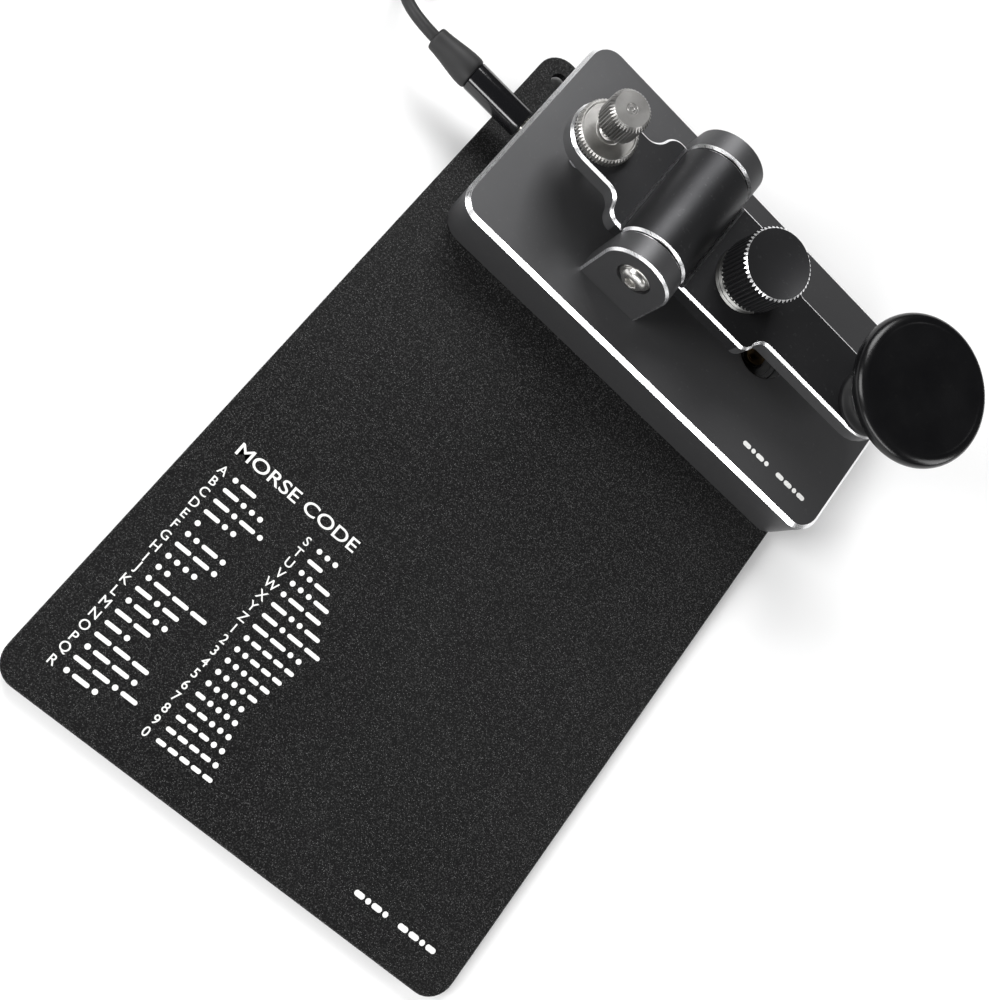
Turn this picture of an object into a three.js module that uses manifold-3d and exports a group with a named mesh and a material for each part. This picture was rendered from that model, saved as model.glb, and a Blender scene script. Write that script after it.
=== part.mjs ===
// A straight morse key on a printed steel desk plate.
// Millimetres, +Z up, +X along the lever towards the finger knob, +Y towards the key's end of the plate.
// The origin is the middle of the object's footprint, on the surface that it stands on.
import * as THREE from "three";
import { mergeVertices } from "three/addons/utils/BufferGeometryUtils.js";
import Module from "manifold-3d";

const wasm = await Module();
wasm.setup();

// ---------------------------------------------------------------- driving dimensions

// Clearances
const FIT_GAP = 0.3; // between separate pieces that face each other
const RUN_GAP = 0.08; // radial gap of a thread or a running fit
const PRESS_GAP = 0.03; // radial gap drawn round a piece that is pressed or glued in
const CUT_OVER = 1; // how far a cutting tool reaches past the face that it cuts

// Rubber feet
const FOOT_R = 4;
const FOOT_H = 2;
const FOOT_INSET = 9;
const FOOT_EDGE = 0.5;

// Desk plate
const PLATE_W = 100;
const PLATE_L = 160;
const PLATE_T = 1.6;
const PLATE_CORNER_R = 5;
const PLATE_EDGE = 0.25;
const PLATE_HOLE_R = 1.8;
const PLATE_HOLE_INSET = 5.2;

// Key block
const BLOCK_L = 96;
const BLOCK_W = 48;
const BLOCK_H = 12;
const BLOCK_CORNER_R = 5;
const BLOCK_CHAMFER = 0.85;
const BLOCK_X = 3.86; // middle of the block, from the middle of the plate
const BLOCK_Y = 57.6;

// Ears and pivot
const EAR_R = 7.4;
const EAR_T = 5;
const EAR_CHAMFER = 0.45;
const EAR_ARC_STEPS = 16;
const PIVOT_X = -11.3;
const PIVOT_RISE = 11.3; // pivot axis above the top of the block
const HUB_R = 7.4;
const HUB_L = 22;
const HUB_CHAMFER = 0.45;

// Lever bar
const LEVER_T = 4.3;
const LEVER_TOP_RISE = 0.7; // top face above the pivot axis
const LEVER_CHAMFER = 0.5;
const REAR_HALF = 6.5;
const WIDE_HALF = 11;
const FRONT_HALF = 6.65;
const LEVER_END_X = 40.4; // centre of the front end's rounding
const REAR_S_X = -26;
const REAR_S_R = 3;
const FRONT_S_X = 12.2;
const FRONT_S_R = 2.4;
const HUB_GROOVE = 0.7;
const LEVER_ARC_STEPS = 6;

// Bearings, axle and pivot screws
const BEARING_R = 5;
const BEARING_BORE_R = 1.5;
const BEARING_W = 4;
const BEARING_OUTER_RACE_R = 4.1;
const BEARING_INNER_RACE_R = 2.4;
const BALL_R = 0.72;
const BALLS = 7;
const CAGE_R = 0.3;
const SPACER_R = 2.5;
const HUB_BORE_R = 3.6;
const PIVOT_SCREW_R = 1.5;
const PIVOT_SCREW_L = 12;
const SCREW_RECESS_R = 3.65;
const SCREW_RECESS_D = 1;
const SCREW_FLANGE_R = 3.25;
const SCREW_FLANGE_T = 0.7;
const SCREW_DOME_R = 2.7;
const SCREW_DOME_H = 1.4;
const DOME_STEPS = 4;
const HEX_R = 1.15;
const HEX_D = 1;

// Gap screw, its lock nut and its stop
const GAP_SCREW_X = -32.3;
const GAP_THREAD_R = 2;
const GAP_TIP_CHAMFER = 0.8;
const NUT_R = 6;
const NUT_H = 2.4;
const NUT_DISH_R = 5.1;
const NUT_DISH_D = 0.25;
const NUT_TEETH = 56;
const NUT_CHAMFER = 0.5;
const KNURL_DEPTH = 0.3;
const SCREW_HEAD_R = 4;
const SCREW_HEAD_H = 6;
const SCREW_HEAD_RISE = 2.9; // bottom of the head above the top of the nut
const SCREW_HEAD_TEETH = 40;
const SCREW_HEAD_CHAMFER = 0.8;
const ANVIL_R = 1.8;
const ANVIL_H = 1.6;
const ANVIL_DEPTH = 1.2;
const STOP_GAP = 0.05;
const SEAT_GAP = 0.05; // between two faces that are clamped together in a turned piece

// Spring tension knob
const TENSION_X = 5.4;
const TENSION_R = 7;
const TENSION_H = 8.1;
const TENSION_TEETH = 50;
const TENSION_CHAMFER = 0.4;
const SLEEVE_R = 6.5;
const SLEEVE_SHOWN = 2.7; // bare thread between the lever and the knob
const SLEEVE_BELOW = 1; // sleeve standing out under the lever
const SLEEVE_BORE_R = 5;
const SLEEVE_BORE_ABOVE = 3.2; // bore's depth into the knurled head
const WASHER_T = 0.8;
const WASHER_R = 4.7;
const WASHER_HOLE_R = 1.6;
const SLEEVE_PITCH = 0.75;
const SLEEVE_THREAD_D = 0.28;
const SPRING_R = 4.3; // outside radius
const SPRING_WIRE_R = 0.4;
const SPRING_TURNS = 7;
const SPRING_END_RISE = 0.9; // rise of each closed end turn
const SPRING_STEPS = 12;
const SPRING_SIDES = 5;
const SPRING_RECESS_R = 4.8;
const SPRING_RECESS_D = 1.5;

// Contacts
const CONTACT_X = 21;
const CONTACT_HOLE_R = 5.8;
const CONTACT_MOUTH = 0.25; // chamfer round the hole's mouth
const STUD_EDGE = 0.4;
const CONTACT_EDGE = 0.3;
const CONTACT_STUD_R = 1.5;
const CONTACT_THREAD_R = 1.2;
const CONTACT_THREAD_L = 2.6;
const CONTACT_GAP = 0.8;
const FIXED_STUD_R = 1.2;
const FIXED_HEAD_R = 2.4;
const FIXED_HEAD_T = 0.9;
const BUSH_LOW = 3.4; // above the bottom of the block
const BUSH_TOP = 8;
const STUD_BELOW = 0.6; // stud standing out under the solder tag
const TAG_R = 2.2;
const TAG_T = 0.5;
const TAG_L = 4.5;

// Finger knob
const KNOB_X = 39.95;
const KNOB_R = 14.35;
const KNOB_H = 16.6;
const KNOB_RIM_DROP = 1.3; // widest circle below the top
const KNOB_FOOT_R = 6.6;
const KNOB_FOOT_H = 1.1;
const KNOB_NECK_R = 4.6;
const KNOB_NECK_Z = 6.8;
const KNOB_DISC_T = 3.3;
const KNOB_UNDER_R = 13.1;
const KNOB_DISH_R = 12.9;
const KNOB_DISH_D = 0.9;
const KNOB_NECK_BLEND = 0.6; // pull of the foot's curve outwards
const KNOB_NECK_EASE = 3.7; // length of each curve's straight start along the neck
const KNOB_FLARE_R = 7;
const KNOB_UNDER_DROP = 0.6;
const KNOB_RIM_PULL = 0.5;
const KNOB_CROWN_R = 9;
const KNOB_FLAT_R = 4;
const KNOB_ARC_STEPS = 5;
const INSERT_R = 2.6;
const INSERT_L = 7;
const KNOB_THREAD_R = 1.5;
const KNOB_SCREW_L = 6;
const KNOB_SCREW_HEAD_R = 2.8;
const KNOB_SCREW_HEAD_H = 1.9;
const KNOB_SCREW_EDGE = 0.3;

// Bottom cover, magnets and cover screws
const COVER_T = 1.5;
const COVER_MARGIN = 4;
const MAGNET_R = 5;
const MAGNET_H = 3;
const MAGNET_DX = 29;
const MAGNET_DY = 14;
const COVER_SCREW_R = 1.1;
const COVER_SCREW_HEAD_R = 2.1;
const COVER_SCREW_L = 5;
const COVER_SCREW_DX = 40;
const COVER_SCREW_DY = 16;

// Jack
const JACK_RISE = 6.9; // axis above the bottom of the block
const JACK_WALL = 3;
const JACK_L = 15;
const JACK_W = 8;
const JACK_H = 5.6;
const JACK_NOSE_R = 2.7;
const JACK_SPRING_L = 5;
const JACK_SPRING_T = 0.4;
const JACK_SPRING_W = 2;
const JACK_END_WALL = 1.2; // plastic behind the end of the bore
const JACK_SLOT_GAP = 0.3; // round the tip spring in its slot
const GROUND_X = -8;
const GROUND_HEAD_R = 1.9;
const GROUND_HEAD_H = 1.2;
const GROUND_R = 0.9;
const GROUND_L = 4;
const POCKET_GAP = 0.4;
const CHANNEL_W = 7;
const CHANNEL_TOP = 5.6;
const WIRE_R = 0.6;
const GROUND_WIRE_R = 0.48;
const WIRE_Y = 1.6; // where each wire leaves the jack, from the lever's centre line
const WIRE_BOW = 2.4; // how far it bows out on its way
const WIRE_EASE = 5; // length of the bend at each end
const WIRE_RISE = 1.2; // height of its run above the bottom cover

// Plugs
const PLUG_PIN_R = 1.75;
const PLUG_PIN_L = 14;
const PIN_HEAD_L = 2.6; // from the groove behind the pin's head to its tip
const PIN_GROOVE_R = 1.15;
const PIN_HEAD_R = 1.65;
const PIN_POINT_R = 0.5;
const BARREL_EDGE = 0.4;
const BOOT_TIP_EDGE = 0.5;
const BOOT_TAPER_FROM = 1.2;
const PLUG_R = 3;
const PLUG_BARREL_L = 13.1;
const BOOT_L = 9.8;
const BOOT_R = 3.2;
const BOOT_TIP_R = 2.35;

// Cord
const CORD_R = 1.2;
const CORD_SIDES = 8;
const COIL_DX = -29.8; // middle of the coil, from the end of the boot in the key
const COIL_DY = 27.2;
const COIL_COLUMNS = 4;
const COIL_LAYERS = 4;
const COIL_MIDDLE_R = 14.4;
const TIE_T = 0.8;
const TIE_W = 5;
const TIE_ANGLE = 240;
const LEAD_ANGLE = -40; // where the lead meets the coil
const LEAD_LOW = 3; // height of the lead's middle there
const LEAD_OUT = 10; // how straight it leaves the plug
const LEAD_IN = 7; // how straight it reaches the coil
const TAIL_ANGLE = 136;
const TAIL_HIGH = 6.6;
const TAIL_OUT = 6;
const TAIL_DROP = 2.6;
const TAIL_IN = 6.5;
const FAR_DX = -54; // the far plug, from the end of the boot in the key
const FAR_BOOT_DY = 26.2;

// Segments round a circle
const ROUND = 28;
const FINE = 40;
const SMALL = 14;

// ---------------------------------------------------------------- derived places

const KNOB_END = KNOB_X + KNOB_R;
const BLOCK_END_Y = BLOCK_Y + BLOCK_W / 2;
const SHIFT_X = -(KNOB_END - PLATE_W / 2) / 2;
const SHIFT_Y = -(BLOCK_END_Y - PLATE_L / 2) / 2;
const PLATE_Z = FOOT_H;
const BLOCK_Z = PLATE_Z + PLATE_T;
const BLOCK_TOP = BLOCK_Z + BLOCK_H;
const BLOCK_REAR = BLOCK_X - BLOCK_L / 2;
const PIVOT_Z = BLOCK_TOP + PIVOT_RISE;
const LEVER_TOP = PIVOT_Z + LEVER_TOP_RISE;
const LEVER_BOTTOM = LEVER_TOP - LEVER_T;
const EAR_IN = HUB_L / 2 + FIT_GAP;
const EAR_OUT = EAR_IN + EAR_T;
const COVER_TOP = BLOCK_Z + COVER_T;
const JACK_Z = BLOCK_Z + JACK_RISE;
const JACK_REAR = BLOCK_REAR + JACK_WALL;
const JACK_SPRING_X = JACK_L - JACK_END_WALL - 2 * JACK_SLOT_GAP - JACK_SPRING_L / 2;
const ANVIL_TOP = BLOCK_TOP - ANVIL_DEPTH + ANVIL_H;
const NUT_Z = LEVER_TOP;
const HEAD_Z = NUT_Z + NUT_H + SCREW_HEAD_RISE;
const FIXED_TOP = BLOCK_Z + BUSH_TOP + FIXED_HEAD_T;
const CONTACT_TIP = FIXED_TOP + CONTACT_GAP;
const TENSION_Z = LEVER_TOP + SLEEVE_SHOWN;
const SLEEVE_BORE_TOP = TENSION_Z + SLEEVE_BORE_ABOVE;
const SPRING_BOTTOM = BLOCK_TOP - SPRING_RECESS_D;
const SPRING_TOP = SLEEVE_BORE_TOP - WASHER_T - FIT_GAP / 3;

// ---------------------------------------------------------------- materials

function finish(color, roughness, metalness) {
  return new THREE.MeshStandardMaterial({ color, roughness, metalness });
}

const powderCoat = finish(0x1b1b1c, 0.75, 0.1);
const anodised = finish(0x2c2c2e, 0.5, 0.6);
const nickel = finish(0xb9b9b6, 0.3, 1);
const steel = finish(0x9a9a9c, 0.35, 1);
const brass = finish(0xb8964a, 0.35, 1);
const glossPlastic = finish(0x0b0b0c, 0.15, 0);
const mattePlastic = finish(0x202022, 0.6, 0);
const nylon = finish(0xd8d4c8, 0.5, 0);
const rubber = finish(0x18181a, 0.9, 0);
const redWire = finish(0xa8201c, 0.5, 0);
const blackWire = finish(0x141416, 0.5, 0);

// ---------------------------------------------------------------- solids

// A geometry with only its positions, merged, as a solid that can be joined and cut.
function solid(geometry) {
  const bare = new THREE.BufferGeometry();
  const flat = geometry.index ? geometry.toNonIndexed() : geometry;
  bare.setAttribute("position", flat.getAttribute("position"));
  const merged = mergeVertices(bare, 1e-4);
  const mesh = new wasm.Mesh({
    numProp: 3,
    vertProperties: merged.attributes.position.array,
    triVerts: new Uint32Array(merged.index.array),
  });
  return new wasm.Manifold(mesh);
}

function geometryOf(shape) {
  const mesh = shape.getMesh();
  const geometry = new THREE.BufferGeometry();
  geometry.setAttribute("position", new THREE.BufferAttribute(mesh.vertProperties, 3));
  geometry.setIndex(new THREE.BufferAttribute(mesh.triVerts, 1));
  geometry.computeVertexNormals();
  return geometry;
}

// A profile of [radius, height] points, listed from the bottom up, turned about Z.
function turned(profile, segments = ROUND) {
  const points = profile.map(([r, z]) => new THREE.Vector2(r, z));
  return new THREE.LatheGeometry(points, segments).rotateX(Math.PI / 2);
}

// The same, turned about an axis along Y.
function turnedAlongY(profile, segments = ROUND) {
  const points = profile.map(([r, y]) => new THREE.Vector2(r, y));
  return new THREE.LatheGeometry(points, segments);
}

// The same, turned about an axis along X.
function turnedAlongX(profile, segments = ROUND) {
  return turned(profile, segments).rotateY(Math.PI / 2);
}

// A round bar between two heights.
function bar(radius, low, high, segments = ROUND) {
  return turned([[0, low], [radius, low], [radius, high], [0, high]], segments);
}

// A round bar with a round hole through it.
function ring(inner, outer, low, high, segments = ROUND) {
  const profile = [[inner, low], [outer, low], [outer, high], [inner, high], [inner, low]];
  return turned(profile, segments);
}

function barAlongY(radius, low, high, segments = ROUND) {
  return turnedAlongY([[0, low], [radius, low], [radius, high], [0, high]], segments);
}

function barAlongX(radius, low, high, segments = ROUND) {
  return turnedAlongX([[0, low], [radius, low], [radius, high], [0, high]], segments);
}

function box(sizeX, sizeY, low, high) {
  return new THREE.BoxGeometry(sizeX, sizeY, high - low).translate(0, 0, (low + high) / 2);
}

function roundedRectangle(width, length, radius) {
  const x = width / 2;
  const y = length / 2;
  const shape = new THREE.Shape();
  shape.moveTo(x - radius, -y);
  shape.absarc(x - radius, radius - y, radius, -Math.PI / 2, 0);
  shape.absarc(x - radius, y - radius, radius, 0, Math.PI / 2);
  shape.absarc(radius - x, y - radius, radius, Math.PI / 2, Math.PI);
  shape.absarc(radius - x, radius - y, radius, Math.PI, 1.5 * Math.PI);
  shape.closePath();
  return shape;
}

// A flat shape made solid between two heights, with both its edges chamfered.
function prism(shape, low, high, chamfer = 0, curveSegments = 4) {
  const options = {
    depth: high - low - 2 * chamfer,
    bevelEnabled: chamfer > 0,
    bevelThickness: chamfer,
    bevelSize: chamfer,
    bevelOffset: -chamfer,
    bevelSegments: 1,
    curveSegments,
  };
  return new THREE.ExtrudeGeometry(shape, options).translate(0, 0, low + chamfer);
}

// A cylinder with straight knurling: a toothed prism cut by a chamfered bar.
function knurled(radius, teeth, depth, low, high, chamferLow, chamferHigh) {
  const star = new THREE.Shape();
  for (let i = 0; i < 2 * teeth; i++) {
    const angle = (Math.PI * i) / teeth;
    const r = i % 2 ? radius - depth : radius;
    const point = [r * Math.cos(angle), r * Math.sin(angle)];
    if (i === 0) star.moveTo(...point);
    else star.lineTo(...point);
  }
  star.closePath();
  const profile = [[0, low], [radius - chamferLow, low]];
  if (chamferLow > 0) profile.push([radius, low + chamferLow]);
  profile.push([radius, high - chamferHigh], [radius - chamferHigh, high], [0, high]);
  const envelope = turned(profile, 2 * teeth);
  return solid(prism(star, low - 1, high + 1)).intersect(solid(envelope));
}

// A round wire or cord of a few sides along a smooth curve.
function tube(curve, radius, steps, sides = CORD_SIDES) {
  const section = new THREE.Shape();
  for (let i = 0; i < sides; i++) {
    const angle = (2 * Math.PI * i) / sides;
    const point = [radius * Math.cos(angle), radius * Math.sin(angle)];
    if (i === 0) section.moveTo(...point);
    else section.lineTo(...point);
  }
  section.closePath();
  return new THREE.ExtrudeGeometry(section, { steps, extrudePath: curve, bevelEnabled: false });
}

function smoothCurve(points) {
  return new THREE.CatmullRomCurve3(points.map((p) => new THREE.Vector3(...p)));
}

// Adds one named mesh at a place.
function place(parent, name, shape, material, x = 0, y = 0) {
  const geometry = shape instanceof THREE.BufferGeometry ? shape : geometryOf(shape);
  const mesh = new THREE.Mesh(geometry, material);
  mesh.name = name;
  mesh.position.set(x, y, 0);
  parent.add(mesh);
}

// ---------------------------------------------------------------- base plate and feet

function foot() {
  return turned([[0, 0], [FOOT_R - FOOT_EDGE, 0], [FOOT_R, FOOT_EDGE], [FOOT_R, FOOT_H], [0, FOOT_H]]);
}

function basePlate() {
  const outline = roundedRectangle(PLATE_W, PLATE_L, PLATE_CORNER_R);
  let plate = solid(prism(outline, PLATE_Z, BLOCK_Z, PLATE_EDGE));
  for (const side of [-1, 1]) {
    const x = side * (PLATE_W / 2 - PLATE_HOLE_INSET);
    const y = PLATE_L / 2 - PLATE_HOLE_INSET;
    plate = plate.subtract(solid(bar(PLATE_HOLE_R, 0, BLOCK_TOP).translate(x, y, 0)));
  }
  return plate;
}

// ---------------------------------------------------------------- key block and its fittings
// These are drawn round the lever's centre line (y = 0), with x as on the plate.

function ear(outerY) {
  const shape = new THREE.Shape();
  shape.moveTo(-EAR_R, -BLOCK_CHAMFER);
  shape.lineTo(EAR_R, -BLOCK_CHAMFER);
  shape.lineTo(EAR_R, PIVOT_RISE);
  shape.absarc(0, PIVOT_RISE, EAR_R, 0, Math.PI);
  shape.closePath();
  const slab = prism(shape, 0, EAR_T, EAR_CHAMFER, EAR_ARC_STEPS).rotateX(Math.PI / 2);
  return solid(slab.translate(PIVOT_X, outerY < 0 ? -EAR_IN : EAR_OUT, BLOCK_TOP));
}

function pivotScrewCut(side) {
  const start = EAR_OUT - SCREW_RECESS_D;
  const hole = barAlongY(PIVOT_SCREW_R + PRESS_GAP, -EAR_OUT - 1, EAR_OUT + 1);
  const recess = barAlongY(SCREW_RECESS_R, start, EAR_OUT + 1);
  const cut = solid(hole).add(solid(side > 0 ? recess : recess.rotateX(Math.PI)));
  return cut.translate([PIVOT_X, 0, PIVOT_Z]);
}

function contactHole() {
  const mouth = CONTACT_HOLE_R + CONTACT_MOUTH;
  return turned([
    [0, BLOCK_Z],
    [CONTACT_HOLE_R, BLOCK_Z],
    [CONTACT_HOLE_R, BLOCK_TOP - CONTACT_MOUTH],
    [mouth, BLOCK_TOP],
    [mouth, BLOCK_TOP + CUT_OVER],
    [0, BLOCK_TOP + CUT_OVER],
  ]).translate(CONTACT_X, 0, 0);
}

function coverPlaces(dx, dy) {
  const places = [];
  for (const sx of [-1, 1]) for (const sy of [-1, 1]) places.push([BLOCK_X + sx * dx, sy * dy]);
  return places;
}

function blockCuts() {
  const pocketL = JACK_L + POCKET_GAP;
  const pocketTop = JACK_Z + JACK_H / 2 + POCKET_GAP;
  const channelL = CONTACT_X - JACK_REAR;
  const coverX = BLOCK_L - 2 * COVER_MARGIN;
  const coverY = BLOCK_W - 2 * COVER_MARGIN;
  const recess = roundedRectangle(coverX, coverY, BLOCK_CORNER_R - 2);
  const cuts = [
    contactHole(),
    bar(SPRING_RECESS_R, SPRING_BOTTOM, BLOCK_TOP + 1).translate(TENSION_X, 0, 0),
    bar(ANVIL_R + PRESS_GAP, BLOCK_TOP - ANVIL_DEPTH, BLOCK_TOP + 1).translate(GAP_SCREW_X, 0, 0),
    barAlongX(JACK_NOSE_R + PRESS_GAP, 0, 2 * JACK_WALL).translate(BLOCK_REAR - 1, 0, JACK_Z),
    box(pocketL, JACK_W + 2 * POCKET_GAP, BLOCK_Z, pocketTop).translate(JACK_REAR + pocketL / 2, 0, 0),
    box(channelL, CHANNEL_W, BLOCK_Z, BLOCK_Z + CHANNEL_TOP).translate(JACK_REAR + channelL / 2, 0, 0),
    prism(recess, BLOCK_Z - 1, COVER_TOP).translate(BLOCK_X, 0, 0),
    bar(GROUND_R + PRESS_GAP, BLOCK_Z, BLOCK_Z + CHANNEL_TOP + GROUND_L, SMALL).translate(GROUND_X, 0, 0),
  ];
  for (const [x, y] of coverPlaces(MAGNET_DX, MAGNET_DY))
    cuts.push(bar(MAGNET_R + PRESS_GAP, BLOCK_Z, COVER_TOP + MAGNET_H + FIT_GAP).translate(x, y, 0));
  for (const [x, y] of coverPlaces(COVER_SCREW_DX, COVER_SCREW_DY))
    cuts.push(bar(COVER_SCREW_R + PRESS_GAP, BLOCK_Z, BLOCK_Z + COVER_SCREW_L + 1, SMALL).translate(x, y, 0));
  return cuts;
}

function keyBlock() {
  const outline = roundedRectangle(BLOCK_L, BLOCK_W, BLOCK_CORNER_R);
  const slab = prism(outline, BLOCK_Z - BLOCK_CHAMFER - 1, BLOCK_TOP, BLOCK_CHAMFER);
  const below = box(2 * BLOCK_L, 2 * BLOCK_W, 0, BLOCK_Z);
  let block = solid(slab.translate(BLOCK_X, 0, 0)).subtract(solid(below));
  block = block.add(ear(-1)).add(ear(1));
  for (const side of [-1, 1]) block = block.subtract(pivotScrewCut(side));
  for (const cut of blockCuts()) block = block.subtract(solid(cut));
  return block;
}

function countersunk(clearance) {
  const head = COVER_SCREW_HEAD_R + clearance;
  const shank = COVER_SCREW_R + clearance;
  const low = BLOCK_Z + (clearance ? 0 : SEAT_GAP);
  return turned([
    [0, low],
    [head, low],
    [shank, BLOCK_Z + head - shank],
    [shank, BLOCK_Z + COVER_SCREW_L],
    [0, BLOCK_Z + COVER_SCREW_L],
  ], SMALL);
}

function bottomCover() {
  const sizeX = BLOCK_L - 2 * COVER_MARGIN - 2 * FIT_GAP;
  const sizeY = BLOCK_W - 2 * COVER_MARGIN - 2 * FIT_GAP;
  const outline = roundedRectangle(sizeX, sizeY, BLOCK_CORNER_R - 2);
  let cover = solid(prism(outline, BLOCK_Z, COVER_TOP).translate(BLOCK_X, 0, 0));
  for (const [x, y] of coverPlaces(COVER_SCREW_DX, COVER_SCREW_DY))
    cover = cover.subtract(solid(countersunk(2 * PRESS_GAP).translate(x, y, 0)));
  return cover;
}

function jackBody() {
  const noseFrom = JACK_REAR - JACK_WALL + FIT_GAP;
  const body = solid(new THREE.BoxGeometry(JACK_L, JACK_W, JACK_H).translate(JACK_L / 2, 0, 0));
  const nose = solid(barAlongX(JACK_NOSE_R, noseFrom - JACK_REAR, 1));
  const bore = solid(barAlongX(PLUG_PIN_R + 2 * RUN_GAP, -JACK_WALL, JACK_L - JACK_END_WALL, SMALL));
  const slotL = JACK_SPRING_L + 2 * JACK_SLOT_GAP;
  const slot = solid(new THREE.BoxGeometry(slotL, JACK_SPRING_W + 2 * JACK_SLOT_GAP, JACK_H));
  return body.add(nose).subtract(bore).subtract(slot.translate([JACK_SPRING_X, 0, JACK_H / 2]))
    .translate([JACK_REAR, 0, JACK_Z]);
}

function jackTipSpring() {
  const leaf = new THREE.BoxGeometry(JACK_SPRING_L, JACK_SPRING_W, JACK_SPRING_T);
  const z = PLUG_PIN_R + 2 * RUN_GAP + JACK_SPRING_T / 2;
  return leaf.translate(JACK_REAR + JACK_SPRING_X, 0, JACK_Z + z);
}

function contactBush() {
  const low = BLOCK_Z + BUSH_LOW;
  return ring(FIXED_STUD_R + PRESS_GAP, CONTACT_HOLE_R - PRESS_GAP, low, BLOCK_Z + BUSH_TOP);
}

function fixedContact() {
  const low = BLOCK_Z + BUSH_LOW - TAG_T - STUD_BELOW;
  const seat = BLOCK_Z + BUSH_TOP;
  return turned([
    [0, low],
    [FIXED_STUD_R, low],
    [FIXED_STUD_R, seat],
    [FIXED_HEAD_R, seat],
    [FIXED_HEAD_R, FIXED_TOP - CONTACT_EDGE],
    [FIXED_HEAD_R - CONTACT_EDGE, FIXED_TOP],
    [0, FIXED_TOP],
  ], SMALL);
}

function solderTag() {
  const high = BLOCK_Z + BUSH_LOW;
  const low = high - TAG_T;
  const disc = solid(bar(TAG_R, low, high, SMALL));
  const tab = solid(box(TAG_L, TAG_R, low, high).translate(-TAG_L / 2 - TAG_R / 2, 0, 0));
  return disc.add(tab).subtract(solid(bar(FIXED_STUD_R + PRESS_GAP, low - 1, high + 1, SMALL)));
}

const WIRE_FROM_X = JACK_REAR + JACK_L + WIRE_R;
const WIRE_FROM_Z = BLOCK_Z + CHANNEL_TOP - WIRE_R - FIT_GAP;

function signalWire() {
  const endX = CONTACT_X - TAG_R / 2 - TAG_L - FIT_GAP;
  const endZ = BLOCK_Z + BUSH_LOW - TAG_T / 2;
  const curve = smoothCurve([
    [WIRE_FROM_X, WIRE_Y, WIRE_FROM_Z],
    [WIRE_FROM_X + WIRE_EASE, WIRE_BOW, COVER_TOP + WIRE_RISE],
    [(WIRE_FROM_X + endX) / 2, WIRE_BOW, COVER_TOP + WIRE_RISE],
    [endX - WIRE_EASE, WIRE_Y, COVER_TOP + WIRE_RISE],
    [endX, 0, endZ],
  ]);
  return tube(curve, WIRE_R, 24);
}

function groundWire() {
  const endX = GROUND_X - GROUND_HEAD_R - FIT_GAP;
  const curve = smoothCurve([
    [WIRE_FROM_X, -WIRE_Y, WIRE_FROM_Z],
    [WIRE_FROM_X + WIRE_EASE, -WIRE_BOW, COVER_TOP + WIRE_RISE],
    [endX - WIRE_EASE, -WIRE_Y, COVER_TOP + 1.3 * WIRE_RISE],
    [endX, -WIRE_Y / 4, BLOCK_Z + CHANNEL_TOP - GROUND_HEAD_H / 2 - FIT_GAP / 2],
  ]);
  return tube(curve, GROUND_WIRE_R, 16);
}

function groundScrew() {
  const seat = BLOCK_Z + CHANNEL_TOP;
  return turned([
    [0, seat - GROUND_HEAD_H],
    [GROUND_HEAD_R, seat - GROUND_HEAD_H],
    [GROUND_HEAD_R, seat],
    [GROUND_R, seat],
    [GROUND_R, seat + GROUND_L - FIT_GAP],
    [0, seat + GROUND_L - FIT_GAP],
  ], SMALL);
}

// ---------------------------------------------------------------- pivot: axis along Y, drawn round it

function pivotScrew() {
  const seat = EAR_OUT - SCREW_RECESS_D;
  const flange = seat + SCREW_FLANGE_T;
  const dome = [];
  for (let i = 0; i < DOME_STEPS; i++) {
    const angle = (Math.PI / 2) * (i / DOME_STEPS);
    dome.push([SCREW_DOME_R * Math.cos(angle), flange + SCREW_DOME_H * Math.sin(angle)]);
  }
  const top = dome[dome.length - 1][1];
  const screw = solid(turnedAlongY([
    [0, seat + SEAT_GAP - PIVOT_SCREW_L],
    [PIVOT_SCREW_R, seat + SEAT_GAP - PIVOT_SCREW_L],
    [PIVOT_SCREW_R, seat + SEAT_GAP],
    [SCREW_FLANGE_R, seat + SEAT_GAP],
    [SCREW_FLANGE_R, flange],
    ...dome,
    [0, top],
  ]));
  return screw.subtract(solid(barAlongY(HEX_R, top - HEX_D, top + 1, 6)));
}

function axleSpacer() {
  const half = HUB_L / 2 - BEARING_W - SEAT_GAP;
  const inner = PIVOT_SCREW_R + PRESS_GAP;
  const profile = [[inner, -half], [SPACER_R, -half], [SPACER_R, half], [inner, half], [inner, -half]];
  return turnedAlongY(profile, ROUND);
}

function bearingRing(inner, outer, low, high, segments = ROUND) {
  const profile = [[inner, low], [outer, low], [outer, high], [inner, high], [inner, low]];
  return turnedAlongY(profile, segments);
}

function bearingBalls() {
  const middle = HUB_L / 2 - BEARING_W / 2;
  const pitch = (BEARING_INNER_RACE_R + BEARING_OUTER_RACE_R) / 2;
  const half = CAGE_R;
  let set = solid(bearingRing(pitch - half, pitch + half, middle - half, middle + half, SMALL));
  for (let i = 0; i < BALLS; i++) {
    const angle = (2 * Math.PI * i) / BALLS;
    const ball = new THREE.SphereGeometry(BALL_R, 8, 5);
    set = set.add(solid(ball.translate(pitch * Math.cos(angle), middle, pitch * Math.sin(angle))));
  }
  return set;
}

// ---------------------------------------------------------------- lever

// Length of an S-shaped shoulder made of two equal arcs, between two half-widths.
function shoulderLength(radius, rise) {
  return 2 * radius * Math.sin(Math.acos(1 - rise / (2 * radius)));
}

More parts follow.
